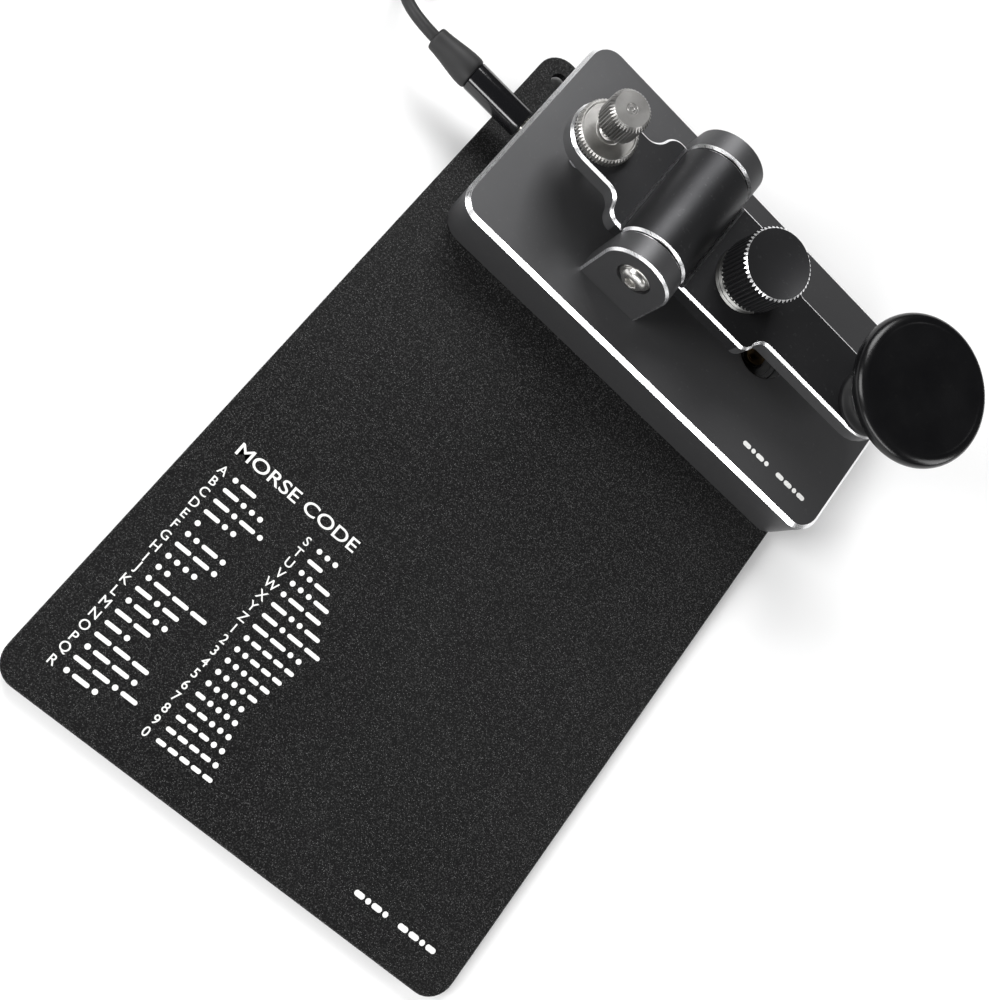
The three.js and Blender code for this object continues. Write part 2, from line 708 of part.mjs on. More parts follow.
function leverOutline() {
  const rearTurn = Math.acos(1 - (WIDE_HALF - REAR_HALF) / (2 * REAR_S_R));
  const frontTurn = Math.acos(1 - (WIDE_HALF - FRONT_HALF) / (2 * FRONT_S_R));
  const rearEnd = REAR_S_X + shoulderLength(REAR_S_R, WIDE_HALF - REAR_HALF);
  const frontEnd = FRONT_S_X + shoulderLength(FRONT_S_R, WIDE_HALF - FRONT_HALF);
  const quarter = Math.PI / 2;
  const shape = new THREE.Shape();
  shape.absarc(GAP_SCREW_X, 0, REAR_HALF, quarter, 3 * quarter);
  shape.absarc(REAR_S_X, -REAR_HALF - REAR_S_R, REAR_S_R, quarter, quarter - rearTurn, true);
  shape.absarc(rearEnd, REAR_S_R - WIDE_HALF, REAR_S_R, -quarter - rearTurn, -quarter);
  shape.absarc(FRONT_S_X, FRONT_S_R - WIDE_HALF, FRONT_S_R, -quarter, frontTurn - quarter);
  shape.absarc(frontEnd, -FRONT_HALF - FRONT_S_R, FRONT_S_R, frontTurn + quarter, quarter, true);
  shape.absarc(LEVER_END_X, 0, FRONT_HALF, -quarter, quarter);
  shape.absarc(frontEnd, FRONT_HALF + FRONT_S_R, FRONT_S_R, -quarter, -quarter - frontTurn, true);
  shape.absarc(FRONT_S_X, WIDE_HALF - FRONT_S_R, FRONT_S_R, quarter - frontTurn, quarter);
  shape.absarc(rearEnd, WIDE_HALF - REAR_S_R, REAR_S_R, quarter, quarter + rearTurn);
  shape.absarc(REAR_S_X, REAR_HALF + REAR_S_R, REAR_S_R, rearTurn - quarter, -quarter, true);
  shape.closePath();
  return shape;
}

// A groove across the bar's top where it meets the hub, sloping down towards the hub.
function hubGroove(side) {
  const shape = new THREE.Shape();
  const edge = side * Math.sqrt(HUB_R ** 2 - LEVER_TOP_RISE ** 2);
  shape.moveTo(edge + side * 1.3 * HUB_GROOVE, HUB_GROOVE / 10);
  shape.lineTo(edge + side * 0.2 * HUB_GROOVE, -HUB_GROOVE);
  shape.lineTo(edge - side * HUB_GROOVE, -HUB_GROOVE);
  shape.lineTo(edge - side * HUB_GROOVE, HUB_GROOVE / 10);
  shape.closePath();
  const cut = prism(shape, 0, 2 * WIDE_HALF + 2).rotateX(Math.PI / 2);
  return solid(cut.translate(PIVOT_X, WIDE_HALF + 1, LEVER_TOP));
}

function hub() {
  const half = HUB_L / 2;
  return solid(turnedAlongY([
    [0, -half],
    [HUB_R - HUB_CHAMFER, -half],
    [HUB_R, HUB_CHAMFER - half],
    [HUB_R, half - HUB_CHAMFER],
    [HUB_R - HUB_CHAMFER, half],
    [0, half],
  ], FINE).translate(PIVOT_X, 0, PIVOT_Z));
}

function hubBore() {
  const half = HUB_L / 2;
  const seat = half - BEARING_W;
  return solid(turnedAlongY([
    [0, -half - 1],
    [BEARING_R + PRESS_GAP, -half - 1],
    [BEARING_R + PRESS_GAP, -seat],
    [HUB_BORE_R, -seat],
    [HUB_BORE_R, seat],
    [BEARING_R + PRESS_GAP, seat],
    [BEARING_R + PRESS_GAP, half + 1],
    [0, half + 1],
  ]).translate(PIVOT_X, 0, PIVOT_Z));
}

function lever() {
  const across = LEVER_TOP + 1;
  const headHole = KNOB_SCREW_HEAD_R + FIT_GAP;
  const cuts = [
    bar(GAP_THREAD_R + RUN_GAP, LEVER_BOTTOM - 1, across).translate(GAP_SCREW_X, 0, 0),
    bar(SLEEVE_R + RUN_GAP, LEVER_BOTTOM - 1, across, FINE).translate(TENSION_X, 0, 0),
    bar(CONTACT_THREAD_R + RUN_GAP, LEVER_BOTTOM - 1, LEVER_BOTTOM + CONTACT_THREAD_L + FIT_GAP, SMALL)
      .translate(CONTACT_X, 0, 0),
    bar(KNOB_THREAD_R + RUN_GAP, LEVER_BOTTOM - 1, across, SMALL).translate(KNOB_X, 0, 0),
    bar(headHole, LEVER_BOTTOM - 1, LEVER_BOTTOM + KNOB_SCREW_HEAD_H).translate(KNOB_X, 0, 0),
  ];
  let body = solid(prism(leverOutline(), LEVER_BOTTOM, LEVER_TOP, LEVER_CHAMFER, LEVER_ARC_STEPS));
  body = body.subtract(hubGroove(-1)).subtract(hubGroove(1)).add(hub()).subtract(hubBore());
  for (const cut of cuts) body = body.subtract(solid(cut));
  return body;
}

function movingContact() {
  return turned([
    [0, CONTACT_TIP],
    [CONTACT_STUD_R - STUD_EDGE, CONTACT_TIP],
    [CONTACT_STUD_R, CONTACT_TIP + STUD_EDGE],
    [CONTACT_STUD_R, LEVER_BOTTOM - SEAT_GAP],
    [CONTACT_THREAD_R, LEVER_BOTTOM - SEAT_GAP],
    [CONTACT_THREAD_R, LEVER_BOTTOM + CONTACT_THREAD_L],
    [0, LEVER_BOTTOM + CONTACT_THREAD_L],
  ], SMALL);
}

// ---------------------------------------------------------------- finger knob

function fingerKnob() {
  const base = LEVER_TOP + SEAT_GAP;
  const outline = new THREE.Path();
  const under = KNOB_H - KNOB_DISC_T;
  const rim = KNOB_H - KNOB_RIM_DROP;
  outline.moveTo(0, 0);
  outline.lineTo(KNOB_FOOT_R, 0);
  outline.lineTo(KNOB_FOOT_R, KNOB_FOOT_H);
  const dish = KNOB_H - KNOB_DISH_D;
  const curves = [
    [KNOB_NECK_R + KNOB_NECK_BLEND, 2 * KNOB_FOOT_H],
    [KNOB_NECK_R, KNOB_NECK_Z - KNOB_NECK_EASE],
    [KNOB_NECK_R, KNOB_NECK_Z],
    [KNOB_NECK_R, KNOB_NECK_Z + KNOB_NECK_EASE],
    [KNOB_FLARE_R, under - KNOB_UNDER_DROP],
    [KNOB_UNDER_R, under],
    [KNOB_R - KNOB_RIM_PULL / 2, under + KNOB_RIM_PULL / 2],
    [KNOB_R, rim - 2 * KNOB_RIM_PULL],
    [KNOB_R, rim],
    [KNOB_R, KNOB_H - KNOB_RIM_PULL],
    [KNOB_R - KNOB_RIM_PULL, KNOB_H],
    [KNOB_DISH_R, KNOB_H - FIT_GAP / 3],
    [KNOB_CROWN_R, dish],
    [KNOB_FLAT_R, dish],
    [0, dish],
  ];
  for (let i = 0; i < curves.length; i += 3)
    outline.bezierCurveTo(...curves[i], ...curves[i + 1], ...curves[i + 2]);
  const profile = outline.getPoints(KNOB_ARC_STEPS).map((p) => [p.x, base + p.y]);
  const socket = bar(INSERT_R + PRESS_GAP, LEVER_TOP - 1, LEVER_TOP + INSERT_L + 2 * FIT_GAP, SMALL);
  return solid(turned(profile, FINE)).subtract(solid(socket));
}

function knobInsert() {
  const low = LEVER_TOP + FIT_GAP;
  return ring(KNOB_THREAD_R + RUN_GAP, INSERT_R, low, low + INSERT_L, SMALL);
}

function knobScrew() {
  const seat = LEVER_BOTTOM + KNOB_SCREW_HEAD_H - SEAT_GAP;
  const low = seat - KNOB_SCREW_HEAD_H + 2 * SEAT_GAP;
  const high = LEVER_TOP + KNOB_SCREW_L;
  const screw = solid(turned([
    [0, low],
    [KNOB_SCREW_HEAD_R - KNOB_SCREW_EDGE, low],
    [KNOB_SCREW_HEAD_R, low + KNOB_SCREW_EDGE],
    [KNOB_SCREW_HEAD_R, seat],
    [KNOB_THREAD_R, seat],
    [KNOB_THREAD_R, high],
    [0, high],
  ], SMALL));
  return screw.subtract(solid(bar(HEX_R, low - 1, low + HEX_D, 6)));
}

// ---------------------------------------------------------------- spring tension

function tensionKnob() {
  const low = LEVER_BOTTOM - SLEEVE_BELOW;
  const high = TENSION_Z + TENSION_H;
  const head = knurled(TENSION_R, TENSION_TEETH, KNURL_DEPTH, TENSION_Z, high, 0, TENSION_CHAMFER);
  const root = SLEEVE_R - SLEEVE_THREAD_D;
  const profile = [[0, low], [SLEEVE_R, low]];
  for (let z = LEVER_TOP; z < TENSION_Z; z += SLEEVE_PITCH)
    profile.push([SLEEVE_R, z], [root, z + SLEEVE_PITCH / 2]);
  profile.push([root, TENSION_Z + 1], [0, TENSION_Z + 1]);
  const bore = bar(SLEEVE_BORE_R, low - 1, SLEEVE_BORE_TOP);
  return head.add(solid(turned(profile))).subtract(solid(bore));
}

function thrustWasher() {
  const high = SLEEVE_BORE_TOP - SEAT_GAP;
  return ring(WASHER_HOLE_R, WASHER_R, high - WASHER_T, high);
}

// A compression spring whose end turns are closed.
class SpringCurve extends THREE.Curve {
  getPoint(t, target = new THREE.Vector3()) {
    const turn = t * SPRING_TURNS;
    const low = SPRING_BOTTOM + SEAT_GAP + SPRING_WIRE_R;
    const high = SPRING_TOP - SPRING_WIRE_R;
    const pitch = (high - low - 2 * SPRING_END_RISE) / (SPRING_TURNS - 2);
    let z = low + Math.min(turn, 1) * SPRING_END_RISE;
    z += Math.min(Math.max(turn - 1, 0), SPRING_TURNS - 2) * pitch;
    z += Math.max(turn - SPRING_TURNS + 1, 0) * SPRING_END_RISE;
    const angle = 2 * Math.PI * turn;
    const r = SPRING_R - SPRING_WIRE_R;
    return target.set(r * Math.cos(angle), r * Math.sin(angle), z);
  }
}

function tensionSpring() {
  return tube(new SpringCurve(), SPRING_WIRE_R, SPRING_STEPS * SPRING_TURNS, SPRING_SIDES);
}

// ---------------------------------------------------------------- gap screw, nut and stop

function gapScrew() {
  const tip = ANVIL_TOP + STOP_GAP;
  const high = HEAD_Z + SCREW_HEAD_H;
  const head = knurled(SCREW_HEAD_R, SCREW_HEAD_TEETH, KNURL_DEPTH, HEAD_Z, high, 0, SCREW_HEAD_CHAMFER);
  const shank = turned([
    [0, tip],
    [GAP_THREAD_R - GAP_TIP_CHAMFER, tip],
    [GAP_THREAD_R, tip + GAP_TIP_CHAMFER],
    [GAP_THREAD_R, HEAD_Z + 1],
    [0, HEAD_Z + 1],
  ]);
  return head.add(solid(shank));
}

function gapLockNut() {
  const high = NUT_Z + NUT_H;
  const nut = knurled(NUT_R, NUT_TEETH, KNURL_DEPTH, NUT_Z, high, 0, NUT_CHAMFER);
  const bore = bar(GAP_THREAD_R + RUN_GAP, NUT_Z - 1, high + 1);
  return nut.subtract(solid(bore)).subtract(solid(bar(NUT_DISH_R, high - NUT_DISH_D, high + 1)));
}

// ---------------------------------------------------------------- lead: plugs drawn along X, pin towards +X

function plugPin() {
  return turnedAlongX([
    [0, 0],
    [PLUG_PIN_R, 0],
    [PLUG_PIN_R, PLUG_PIN_L - PIN_HEAD_L - 1],
    [PIN_GROOVE_R, PLUG_PIN_L - PIN_HEAD_L],
    [PIN_HEAD_R, PLUG_PIN_L - PIN_HEAD_L + 1],
    [PIN_POINT_R, PLUG_PIN_L],
    [0, PLUG_PIN_L],
  ], SMALL);
}

function plugBarrel() {
  return turnedAlongX([
    [0, -PLUG_BARREL_L],
    [PLUG_R, -PLUG_BARREL_L],
    [PLUG_R, -SEAT_GAP - BARREL_EDGE],
    [PLUG_R - BARREL_EDGE, -SEAT_GAP],
    [0, -SEAT_GAP],
  ], SMALL);
}

function plugBoot() {
  const front = -PLUG_BARREL_L - SEAT_GAP;
  const back = -PLUG_BARREL_L - BOOT_L;
  return turnedAlongX([
    [0, back],
    [BOOT_TIP_R - BOOT_TIP_EDGE, back],
    [BOOT_TIP_R, back + BOOT_TIP_EDGE],
    [BOOT_R, front - BOOT_TAPER_FROM],
    [BOOT_R - FIT_GAP, front],
    [0, front],
  ], SMALL);
}

// The lead and the far plug are drawn from the end of the boot that is in the key.

function coilRadii() {
  const half = COIL_COLUMNS * CORD_R;
  return [COIL_MIDDLE_R - half, COIL_MIDDLE_R + half];
}

// A place for the cord's middle just outside the coil.
function besideCoil(degrees, height) {
  const reach = coilRadii()[1] + CORD_R + FIT_GAP;
  const angle = (degrees * Math.PI) / 180;
  return new THREE.Vector3(COIL_DX + reach * Math.cos(angle), COIL_DY + reach * Math.sin(angle), height);
}

function cordLead() {
  const start = new THREE.Vector3(-FIT_GAP, 0, JACK_Z);
  const end = besideCoil(LEAD_ANGLE, LEAD_LOW);
  const out = start.clone().add(new THREE.Vector3(-LEAD_OUT, 0, 0));
  const into = end.clone().add(new THREE.Vector3(0, -LEAD_IN, LEAD_IN * 0.3));
  return tube(new THREE.CubicBezierCurve3(start, out, into, end), CORD_R, 12);
}

function cordTail() {
  const start = besideCoil(TAIL_ANGLE, TAIL_HIGH);
  const end = new THREE.Vector3(FAR_DX, FAR_BOOT_DY + FIT_GAP, BOOT_R);
  const angle = (TAIL_ANGLE * Math.PI) / 180;
  const away = new THREE.Vector3(-TAIL_OUT * Math.sin(angle), TAIL_OUT * Math.cos(angle), -TAIL_DROP);
  const into = end.clone().add(new THREE.Vector3(0, TAIL_IN, 0));
  return tube(new THREE.CubicBezierCurve3(start, start.clone().add(away), into, end), CORD_R, 8);
}

function cordCoil() {
  const [inner, outer] = coilRadii();
  const height = COIL_LAYERS * CORD_R * 2;
  const corner = CORD_R * 0.6;
  const body = solid(turned([
    [inner, corner],
    [inner + corner, 0],
    [outer - corner, 0],
    [outer, corner],
    [outer, height - corner],
    [outer - corner, height],
    [inner + corner, height],
    [inner, height - corner],
    [inner, corner],
  ]));
  const notch = box(outer, TIE_W + 2 * FIT_GAP, -1, TIE_T + FIT_GAP).translate(outer / 2 + inner / 2, 0, 0);
  return body.subtract(solid(notch.rotateZ((TIE_ANGLE * Math.PI) / 180)));
}

function cableTie() {
  const [inner, outer] = coilRadii();
  const height = COIL_LAYERS * CORD_R * 2 + TIE_T;
  const half = (outer - inner) / 2 + 2 * FIT_GAP + TIE_T;
  const outline = roundedRectangle(2 * half, height + FIT_GAP + TIE_T, 2 * TIE_T);
  outline.holes.push(roundedRectangle(2 * (half - TIE_T), height + FIT_GAP - TIE_T, TIE_T));
  const strap = prism(outline, -TIE_W / 2, TIE_W / 2, 0, 4).rotateX(Math.PI / 2);
  const middle = (height + FIT_GAP + TIE_T) / 2;
  return strap.translate(COIL_MIDDLE_R, 0, middle).rotateZ((TIE_ANGLE * Math.PI) / 180);
}

// ---------------------------------------------------------------- assembly

const morseKey = new THREE.Group();

const plateFrame = new THREE.Group();
plateFrame.position.set(SHIFT_X, SHIFT_Y, 0);
morseKey.add(plateFrame);

const keyFrame = new THREE.Group();
keyFrame.position.set(0, BLOCK_Y, 0);
plateFrame.add(keyFrame);

place(plateFrame, "base_plate", basePlate(), powderCoat);
[[-1, -1], [1, -1], [-1, 1], [1, 1]].forEach(([sx, sy], i) => {
  const x = sx * (PLATE_W / 2 - FOOT_INSET);
  const y = sy * (PLATE_L / 2 - FOOT_INSET);
  place(plateFrame, `foot_${i + 1}`, foot(), rubber, x, y);
});

place(keyFrame, "key_block", keyBlock(), anodised);
place(keyFrame, "bottom_cover", bottomCover(), anodised);
coverPlaces(COVER_SCREW_DX, COVER_SCREW_DY).forEach(([x, y], i) => {
  place(keyFrame, `cover_screw_${i + 1}`, countersunk(0), steel, x, y);
});
coverPlaces(MAGNET_DX, MAGNET_DY).forEach(([x, y], i) => {
  place(keyFrame, `magnet_${i + 1}`, bar(MAGNET_R, COVER_TOP, COVER_TOP + MAGNET_H), nickel, x, y);
});
place(keyFrame, "stop_anvil", bar(ANVIL_R, BLOCK_TOP - ANVIL_DEPTH, ANVIL_TOP), steel, GAP_SCREW_X);
place(keyFrame, "jack_body", jackBody(), mattePlastic);
place(keyFrame, "jack_tip_spring", jackTipSpring(), brass);
place(keyFrame, "contact_bush", contactBush(), nylon, CONTACT_X);
place(keyFrame, "fixed_contact", fixedContact(), brass, CONTACT_X);
place(keyFrame, "solder_tag", solderTag(), brass, CONTACT_X);
place(keyFrame, "signal_wire", signalWire(), redWire);
place(keyFrame, "ground_wire", groundWire(), blackWire);
place(keyFrame, "ground_screw", groundScrew(), steel, GROUND_X);
place(keyFrame, "tension_spring", tensionSpring(), steel, TENSION_X);

const pivotFrame = new THREE.Group();
pivotFrame.position.set(PIVOT_X, 0, PIVOT_Z);
keyFrame.add(pivotFrame);
place(pivotFrame, "axle_spacer", axleSpacer(), steel);
for (const [name, turn] of [["left", Math.PI], ["right", 0]]) {
  const sideFrame = new THREE.Group();
  sideFrame.rotation.z = turn;
  pivotFrame.add(sideFrame);
  const low = HUB_L / 2 - BEARING_W;
  const high = HUB_L / 2;
  place(sideFrame, `pivot_screw_${name}`, pivotScrew(), nickel);
  place(sideFrame, `bearing_inner_ring_${name}`,
    bearingRing(BEARING_BORE_R + PRESS_GAP, BEARING_INNER_RACE_R, low, high + FIT_GAP - SEAT_GAP), steel);
  place(sideFrame, `bearing_balls_${name}`, bearingBalls(), steel);
  place(sideFrame, `bearing_outer_ring_${name}`,
    bearingRing(BEARING_OUTER_RACE_R, BEARING_R, low + SEAT_GAP, high - SEAT_GAP), steel);
}

place(keyFrame, "lever", lever(), anodised);
place(keyFrame, "moving_contact", movingContact(), brass, CONTACT_X);
place(keyFrame, "finger_knob", fingerKnob(), glossPlastic, KNOB_X);
place(keyFrame, "knob_insert", knobInsert(), brass, KNOB_X);
place(keyFrame, "knob_screw", knobScrew(), steel, KNOB_X);
place(keyFrame, "tension_knob", tensionKnob(), anodised, TENSION_X);
place(keyFrame, "thrust_washer", thrustWasher(), steel, TENSION_X);
place(keyFrame, "gap_screw", gapScrew(), nickel, GAP_SCREW_X);
place(keyFrame, "gap_lock_nut", gapLockNut(), nickel, GAP_SCREW_X);

const plugFrame = new THREE.Group();
plugFrame.position.set(BLOCK_REAR - FIT_GAP, 0, JACK_Z);
keyFrame.add(plugFrame);

const leadFrame = new THREE.Group();
leadFrame.position.set(BLOCK_REAR - FIT_GAP - PLUG_BARREL_L - BOOT_L, 0, 0);
keyFrame.add(leadFrame);

const farPlugFrame = new THREE.Group();
farPlugFrame.rotation.z = -Math.PI / 2;
farPlugFrame.position.set(FAR_DX, FAR_BOOT_DY - PLUG_BARREL_L - BOOT_L, BOOT_R);
leadFrame.add(farPlugFrame);

for (const [prefix, frame] of [["plug", plugFrame], ["far", farPlugFrame]]) {
  place(frame, `${prefix}_pin`, plugPin(), nickel);
  place(frame, `${prefix}_barrel`, plugBarrel(), glossPlastic);
  place(frame, `${prefix}_boot`, plugBoot(), rubber);
}

place(leadFrame, "cord_lead", cordLead(), rubber);
place(leadFrame, "cord_coil", cordCoil(), rubber, COIL_DX, COIL_DY);
place(leadFrame, "cord_tail", cordTail(), rubber);
place(leadFrame, "cable_tie", cableTie(), mattePlastic, COIL_DX, COIL_DY);

export default morseKey;
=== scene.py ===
# %% [markdown]
# # A straight morse key on its desk plate
#
# A straight key is a seesaw switch. The operator presses the round knob, the lever tips on its
# pivot and two small contacts meet. This lesson builds the looks of one around a finished CAD
# frame: every piece keeps the place and size that the frame gives, and Blender adds fine knurls,
# threads, springs, print and surface finishes.
#
# Lengths in the modelling code are in millimetres, as on a workshop drawing, and each finished
# mesh is scaled to metres at the very end of its making.

# %% Load the frame
import math

import bmesh
import bpy
from mathutils import Matrix, Vector


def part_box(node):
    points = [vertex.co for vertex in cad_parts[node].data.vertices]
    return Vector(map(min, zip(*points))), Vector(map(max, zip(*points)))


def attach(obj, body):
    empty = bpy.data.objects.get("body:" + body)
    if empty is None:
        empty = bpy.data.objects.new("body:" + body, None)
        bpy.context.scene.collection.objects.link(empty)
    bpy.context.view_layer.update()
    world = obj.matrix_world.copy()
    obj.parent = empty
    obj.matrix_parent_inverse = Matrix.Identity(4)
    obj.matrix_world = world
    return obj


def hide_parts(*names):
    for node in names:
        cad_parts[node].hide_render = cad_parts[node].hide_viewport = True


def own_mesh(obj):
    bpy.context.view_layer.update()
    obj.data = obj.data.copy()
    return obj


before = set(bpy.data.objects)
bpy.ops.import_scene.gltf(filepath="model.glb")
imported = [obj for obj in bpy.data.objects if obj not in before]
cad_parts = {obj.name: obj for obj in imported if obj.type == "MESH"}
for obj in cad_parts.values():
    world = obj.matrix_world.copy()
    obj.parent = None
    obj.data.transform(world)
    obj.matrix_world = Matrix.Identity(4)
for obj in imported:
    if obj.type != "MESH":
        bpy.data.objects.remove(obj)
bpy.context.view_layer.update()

SCENE = bpy.context.scene
MM = 0.001

# %% [markdown]
# ## Where the pieces go
#
# A node's box gives its lowest and highest corners in metres. Turning that into millimetres once,
# here, lets every later cell ask for a middle, a bottom or a radius instead of repeating numbers.


# %% Read places from the frame
def corners(node):
    low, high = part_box(node)
    return [c / MM for c in low], [c / MM for c in high]


def middle(node):
    low, high = corners(node)
    return [(a + b) / 2 for a, b in zip(low, high)]


def bottom(node):
    return corners(node)[0][2]


def top(node):
    return corners(node)[1][2]


def radius_of(node):
    low, high = corners(node)
    return (high[0] - low[0]) / 2


PIVOT_X = middle("pivot_screw_left")[0]
PIVOT_Z = middle("pivot_screw_left")[2]
KEY_Y = middle("lever")[1]
PLATE_TOP = top("base_plate")
BUSH_RECESS = 4.0
BLOCK_TOP = top("contact_bush") + BUSH_RECESS
LEVER_TOP = bottom("gap_lock_nut")
print("pivot axis at x %.2f, z %.2f mm" % (PIVOT_X, PIVOT_Z))

# %% [markdown]
# ## Camera
#
# A camera is two things: where it stands and which way is up in its picture. Here the viewer
# leans over the desk and turns their head, so the picture's up is not the room's up. Building the
# rotation from a forward and an up direction says that more plainly than three angles would.

# %% Place the camera
CAMERA_AT = Vector((-44.95, -57.5, 198.37)) * MM
FORWARD = Vector((0.2028, 0.27141, -0.94085)).normalized()
PICTURE_UP = Vector((-0.65486, 0.75194, 0.07576)).normalized()
LENS_MM = 38.92


def aim(thing, place, forward, up):
    right = forward.cross(up).normalized()
    true_up = right.cross(forward)
    turn = Matrix((right, true_up, -forward)).transposed().to_4x4()
    thing.matrix_world = Matrix.Translation(place) @ turn


camera_data = bpy.data.cameras.new("camera")
camera_data.lens = LENS_MM
camera_data.sensor_width = 36
camera_data.sensor_fit = "HORIZONTAL"
camera_data.clip_start = 0.01
camera = bpy.data.objects.new("camera", camera_data)
SCENE.collection.objects.link(camera)
aim(camera, CAMERA_AT, FORWARD, PICTURE_UP)
SCENE.camera = camera
print("camera looks down at", round(math.degrees(math.asin(-FORWARD.z))), "degrees")

# %% [markdown]
# ## Node groups: effects that several finishes share
#
# Real surfaces are never one flat colour. Five effects turn up on this object: patches where a
# finish is a little lighter or duller, a fine grain, pale specks that are painted glints,
# straight tool marks, and the rings that a lathe leaves. Each is built once as a node group with
# named inputs, and each material then sets its own sizes. A group gives out only values, and the
# shader stays in the material.


# %% A helper that starts a group
def new_group(name, inputs, outputs):
    tree = bpy.data.node_groups.new(name, "ShaderNodeTree")
    for label, kind, value in inputs:
        socket = tree.interface.new_socket(label, in_out="INPUT", socket_type=kind)
        if value is not None:
            socket.default_value = value
    for label in outputs:
        tree.interface.new_socket(label, in_out="OUTPUT", socket_type="NodeSocketFloat")
    source = tree.nodes.new("NodeGroupInput")
    target = tree.nodes.new("NodeGroupOutput")
    return tree, source, target


def noise_node(tree, vector, scale, detail=3.0, rough=0.55):
    node = tree.nodes.new("ShaderNodeTexNoise")
    node.inputs["Detail"].default_value = detail
    node.inputs["Roughness"].default_value = rough
    tree.links.new(vector, node.inputs["Vector"])
    if isinstance(scale, (int, float)):
        node.inputs["Scale"].default_value = scale
    else:
        tree.links.new(scale, node.inputs["Scale"])
    return node


def ramp_value(tree, value, low, high, to_low=0.0, to_high=1.0):
    node = tree.nodes.new("ShaderNodeMapRange")
    node.inputs["From Min"].default_value = low
    node.inputs["From Max"].default_value = high
    node.inputs["To Min"].default_value = to_low
    node.inputs["To Max"].default_value = to_high
    tree.links.new(value, node.inputs["Value"])
    return node.outputs["Result"]


# %% Patches and grain
FLOAT = "NodeSocketFloat"
VECTOR = "NodeSocketVector"


def build_patina():
    sizes = [("Patches per metre", FLOAT, 40.0), ("Grains per metre", FLOAT, 4000.0)]
    tree, source, target = new_group("Patches and grain", sizes, ["Patches", "Grain", "Wear"])
    place = tree.nodes.new("ShaderNodeTexCoord").outputs["Object"]
    patches = noise_node(tree, place, source.outputs["Patches per metre"], 4.0)
    grain = noise_node(tree, place, source.outputs["Grains per metre"], 2.0)
    wear = noise_node(tree, place, 900.0, 6.0, 0.7)
    tree.links.new(ramp_value(tree, patches.outputs["Fac"], 0.3, 0.7), target.inputs["Patches"])
    tree.links.new(grain.outputs["Fac"], target.inputs["Grain"])
    tree.links.new(ramp_value(tree, wear.outputs["Fac"], 0.6, 0.72), target.inputs["Wear"])
    return tree


PATINA = build_patina()
print(PATINA.name, "has", len(PATINA.nodes), "nodes")


# %% Painted glint specks in a powder coat
# Painted glints: these specks are pale dots painted into the coat's colour.
def build_painted_glint_specks():
    sizes = [("Specks per metre", FLOAT, 2500.0), ("Share", FLOAT, 0.1)]
    tree, source, target = new_group("Painted glint specks", sizes, ["Specks", "Peel"])
    place = tree.nodes.new("ShaderNodeTexCoord").outputs["Object"]
    cells = tree.nodes.new("ShaderNodeTexVoronoi")
    tree.links.new(place, cells.inputs["Vector"])
    tree.links.new(source.outputs["Specks per metre"], cells.inputs["Scale"])
    near = ramp_value(tree, cells.outputs["Distance"], 0.12, 0.3, 1.0, 0.0)
    split = tree.nodes.new("ShaderNodeSeparateColor")
    tree.links.new(cells.outputs["Color"], split.inputs["Color"])
    chosen = tree.nodes.new("ShaderNodeMath")
    chosen.operation = "LESS_THAN"
    tree.links.new(split.outputs["Red"], chosen.inputs[0])
    tree.links.new(source.outputs["Share"], chosen.inputs[1])
    both = tree.nodes.new("ShaderNodeMath")
    both.operation = "MULTIPLY"
    tree.links.new(near, both.inputs[0])
    tree.links.new(chosen.outputs["Value"], both.inputs[1])
    tree.links.new(both.outputs["Value"], target.inputs["Specks"])
    peel = noise_node(tree, place, 2100.0, 2.5, 0.6)
    tree.links.new(peel.outputs["Fac"], target.inputs["Peel"])
    return tree


GLINT_SPECKS = build_painted_glint_specks()
print(GLINT_SPECKS.name, "has", len(GLINT_SPECKS.nodes), "nodes")


# %% Tool marks and lathe rings
def build_tool_marks():
    sizes = [("Vector", VECTOR, None), ("Marks per metre", FLOAT, 3000.0)]
    tree, source, target = new_group("Tool marks", sizes, ["Marks"])
    lines = noise_node(tree, source.outputs["Vector"], source.outputs["Marks per metre"], 3.0, 0.7)
    tree.links.new(ramp_value(tree, lines.outputs["Fac"], 0.35, 0.65), target.inputs["Marks"])
    return tree


def build_lathe_rings():
    sizes = [("Vector", VECTOR, None), ("Rings per metre", FLOAT, 2500.0)]
    tree, source, target = new_group("Lathe rings", sizes, ["Rings", "Fine rings"])
    for label, factor in (("Rings", 1.0), ("Fine rings", 3.7)):
        pace = tree.nodes.new("ShaderNodeMath")
        pace.operation = "MULTIPLY"
        pace.inputs[1].default_value = factor
        tree.links.new(source.outputs["Rings per metre"], pace.inputs[0])
        rings = tree.nodes.new("ShaderNodeTexWave")
        rings.wave_type = "RINGS"
        rings.rings_direction = "Z"
        rings.inputs["Distortion"].default_value = 1.5
        rings.inputs["Detail Scale"].default_value = 2.0
        tree.links.new(source.outputs["Vector"], rings.inputs["Vector"])
        tree.links.new(pace.outputs["Value"], rings.inputs["Scale"])
        tree.links.new(rings.outputs["Fac"], target.inputs[label])
    return tree


TOOL_MARKS = build_tool_marks()
LATHE_RINGS = build_lathe_rings()
print("groups:", ", ".join(g.name for g in bpy.data.node_groups))

# %% [markdown]
# ## Materials
#
# Each finish starts from the same few steps: the patches mix two close colours and shift the
# roughness, and the grain drives a very small bump. What makes powder coat differ from anodised
# metal or rubber is the sizes and the metalness, so one function takes those as arguments. Plain
# numbers such as metalness and shine go on the shader's own socket.


# %% One function for a grained finish
NORMAL_SHINE = 0.5
KNOB_SHINE = 0.3
COAT_SHINE = 0.15


def new_material(name, metallic=0.0, coat=0.0, shine=NORMAL_SHINE):
    material = bpy.data.materials.new(name)
    material.use_nodes = True
    shader = material.node_tree.nodes["Principled BSDF"]
    shader.inputs["Metallic"].default_value = metallic
    shader.inputs["Coat Weight"].default_value = coat
    shader.inputs["Coat Roughness"].default_value = 0.05
    shader.inputs["Specular IOR Level"].default_value = shine
    return material, material.node_tree, shader


